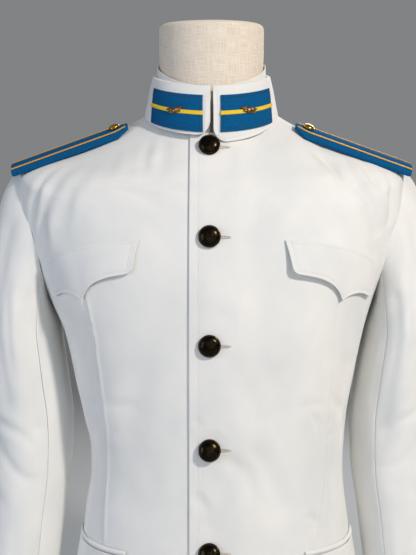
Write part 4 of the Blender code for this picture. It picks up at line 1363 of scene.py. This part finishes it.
def board_half_width(along):
    """Half the board's width, cut back at its inner end and rounded at its outer corners."""
    inner = 0.42 + 0.58 * np.clip(along / BOARD_TAPER, 0, 1)
    outer = np.clip((along - BOARD_LENGTH + BOARD_CORNER) / BOARD_CORNER, 0, 1)
    return BOARD_WIDTH / 2 * (inner - 0.13 * (1 - np.sqrt(1 - outer**2)))


def shoulder_boards():
    """A stiff felt-covered board on each shoulder."""
    flat_end = BOARD_LENGTH - BOARD_CORNER
    along = np.concatenate((np.linspace(0, BOARD_TAPER, 8), np.linspace(BOARD_TAPER, flat_end, 44)[1:]))
    along = np.append(along, flat_end + BOARD_CORNER * np.sin(np.linspace(0, np.pi / 2, 7))[1:])
    section = [(share, 0.25 * (1 - share**2)) for share in np.linspace(1, -1, 24)]
    section += [(-1, -BOARD_THICK * t) for t in (0.25, 0.5, 0.75)]
    section += [(share, -BOARD_THICK) for share in np.linspace(-1, 1, 16)]
    section += [(1, -BOARD_THICK * t) for t in (0.75, 0.5, 0.25)]
    section.append(section[0])
    round_share, depth = np.array(section).T
    bulge = 0.7 * np.sin(np.pi * np.clip(-depth / BOARD_THICK, 0, 1)) * (np.abs(round_share) == 1)
    half = board_half_width(along)[:, None]
    across = half * round_share + bulge * np.sign(round_share)
    rows = board_point(along[:, None] + 0 * across, across, depth + 0 * across)
    ends = [np.repeat(row.mean(axis=0)[None, :], len(row), axis=0) for row in (rows[0], rows[-1])]
    rows = np.concatenate((ends[0][None], rows, ends[1][None]))
    for word, flip in SIDES:
        made = patch(f"board_{word}_felt", sided(rows, flip), closed=True)
        made.data.set_sharp_from_angle(angle=math.radians(48))
        finished(made, BLUE, f"board_{word}")


def board_braids():
    """Two lines of gilt braid along each board."""
    along = np.concatenate((np.linspace(2.5, 20, 10), np.linspace(20, BOARD_LENGTH - 0.4, 50)[1:]))
    nearing = between(BRAID_PLACE, ramp(0, 18, along))
    shares = np.linspace(1, -1, 7)
    lift = SEAM_GAP + BRAID_THICK + 0.35 * (1 - shares**2)
    for line, way in (("front", -1), ("back", 1)):
        across = way * nearing[:, None] + BRAID_HALF * shares
        rows = board_point(along[:, None] + 0 * across, across, lift + 0 * across)
        for word, flip in SIDES:
            made = walled(patch(f"braid_{line}_{word}_gilt", sided(rows, flip)), BRAID_THICK, 0.2)
            finished(made, GOLD, f"braid_{line}_{word}")


def board_buttons():
    """The small button near each board's inner end."""
    foot = board_point(BOARD_BUTTON, 0.0, SEAM_GAP)
    normal = board_point(BOARD_BUTTON, 0.0, 10.0) - board_point(BOARD_BUTTON, 0.0, 0.0)
    dome = dome_rows(button_profile(6.6, 4.6, 1.2), 40)
    for word, flip in SIDES:
        rows = to_place(dome, foot * (flip, 1, 1), normal * (flip, 1, 1))
        made = patch(f"board_button_{word}_dome", rows, closed=True)
        finished(made, GILT, f"board_button_{word}")


# The dress form
def form_clearance(angle, level):
    """How far the dress form lies behind the cloth's outer face. It meets the shoulder seams."""
    ease, arm_end = (smooth(FORM_EASE, n, level) for n in ("ease", "arm_end"))
    from_side = np.abs(angle - 180) - 90
    beside = np.exp(-((from_side / 26) ** 2))
    seam = np.exp(-((from_side / 12) ** 2)) * ramp(692, 706, level)
    seam = seam * (1 - ramp(742, 754, level))
    return CLOTH + 0.45 * seam + (ease + arm_end * beside) * (1 - seam)


def dress_form():
    """The limbless torso: linen drawn smooth over a padded shape, with a flat base and neck."""
    angles = np.linspace(0, 360, 121)
    rows = []
    for scale, z in ((0.0, 0.0), (0.955, 0.0), (0.975, 0.8), (0.99, 3.5), (1.0, 10.0), (1.0, 24.0)):
        ring = body(angles, HEM_LEVEL)
        ring = (ring - body_normal(angles, HEM_LEVEL) * form_clearance(angles, 0.0)[:, None]) * scale
        ring[:, 2] = z
        rows.append(ring)
    for level in np.concatenate((np.arange(40, 690, 12.0), np.arange(690, 749, 5.8))):
        at = np.full(angles.shape, float(level))
        points, normals = body(angles, at), body_normal(angles, at)
        rows.append(points - normals * (form_clearance(angles, at) + 0.35)[:, None])
    turn = np.radians(angles)
    c, s = np.cos(turn), np.sin(turn)
    neck = []
    for z in np.linspace(FORM_NECK["z"][0], FORM_NECK["z"][-1], 22):
        neck.append((z, *(smooth(FORM_NECK, n, z) for n in ("radius", "tilt", "dip"))))
    for a in np.linspace(0, math.pi / 2, 9)[1:]:
        inward = NECK_CORNER * (1 - math.cos(a))
        neck.append((FORM_TOP - NECK_CORNER + NECK_CORNER * math.sin(a), 61.6 - inward, NECK_TILT, 0.0))
    neck += [(FORM_TOP, 30.0, NECK_TILT * 0.55, 0.0), (FORM_TOP, 0.0, 0.0, 0.0)]
    for z, radius, tilt, dip in neck:
        height = z - tilt * c - dip * c * c * (c > 0)
        rows.append(np.stack((radius * s, NECK_Y - radius * c, height), axis=-1))
    made = patch("dress_form_linen", np.array(rows), closed=True)
    finished(made, LINEN, "dress_form")


front_panels()
side_panels()
back_panels()
sleeves()
collar()
collar_tabs()
badges()
buttons()
buttonholes()
chest_flaps()
hip_pockets()
shoulder_boards()
board_braids()
board_buttons()
dress_form()
stitched("white_topstitching", STITCH_LINES, WHITE_THREAD)


# Floor, lights and camera
def floor():
    """A plain pale floor that runs out of sight."""
    bpy.ops.mesh.primitive_circle_add(vertices=96, radius=14, fill_type="NGON")
    made = bpy.context.object
    made.name = "floor"
    finish, _, shader = new_material("pale_floor", 0.9)
    shader.inputs["Base Color"].default_value = linear("#B9BBBC")
    made.data.materials.append(finish)


CHEST = (0, -0.1, 0.55)
# Name, place, watts, size and colour. All look at the chest.
LIGHTS = (
    ("key", (1.3, -1.6, 1.65), 36, 0.26, "#FFF7EF"),
    ("fill", (-1.5, -1.3, 0.7), 10, 1.2, "#D8E6FF"),
    ("front", (0.4, -2.4, 0.6), 7.5, 2.0, "#F8FBFF"),
    ("back", (0.6, 1.6, 1.5), 18, 1.0, "#FFFFFF"),
)


def area_light(name, place, watts, size, colour):
    """A round soft light."""
    lamp = bpy.data.lights.new(name, "AREA")
    lamp.energy = watts
    lamp.shape = "DISK"
    lamp.size = size
    lamp.color = linear(colour)[:3]
    made = placed(name, lamp)
    made.location = place
    made.rotation_euler = (Vector(place) - Vector(CHEST)).to_track_quat("Z", "Y").to_euler()


def studio():
    """A soft key from the upper right, a cool fill from the left, a broad front light and a dim room."""
    for light in LIGHTS:
        area_light(*light)
    world = bpy.data.worlds.new("room")
    bpy.context.scene.world = world
    world.use_nodes = True
    sky = world.node_tree.nodes["Background"]
    sky.inputs["Color"].default_value = linear("#C2C4C6")
    sky.inputs["Strength"].default_value = 0.41
    bpy.context.scene.view_settings.view_transform = "Standard"


def camera():
    """At the photograph's distance and height, level, with its field of view."""
    lens = bpy.data.cameras.new("camera")
    lens.sensor_width = 36
    lens.lens = 48
    made = placed("camera", lens)
    made.location = (-0.004, -0.873, 0.565)
    made.rotation_euler = (math.radians(90), 0, 0)
    bpy.context.scene.camera = made


floor()
studio()
camera()
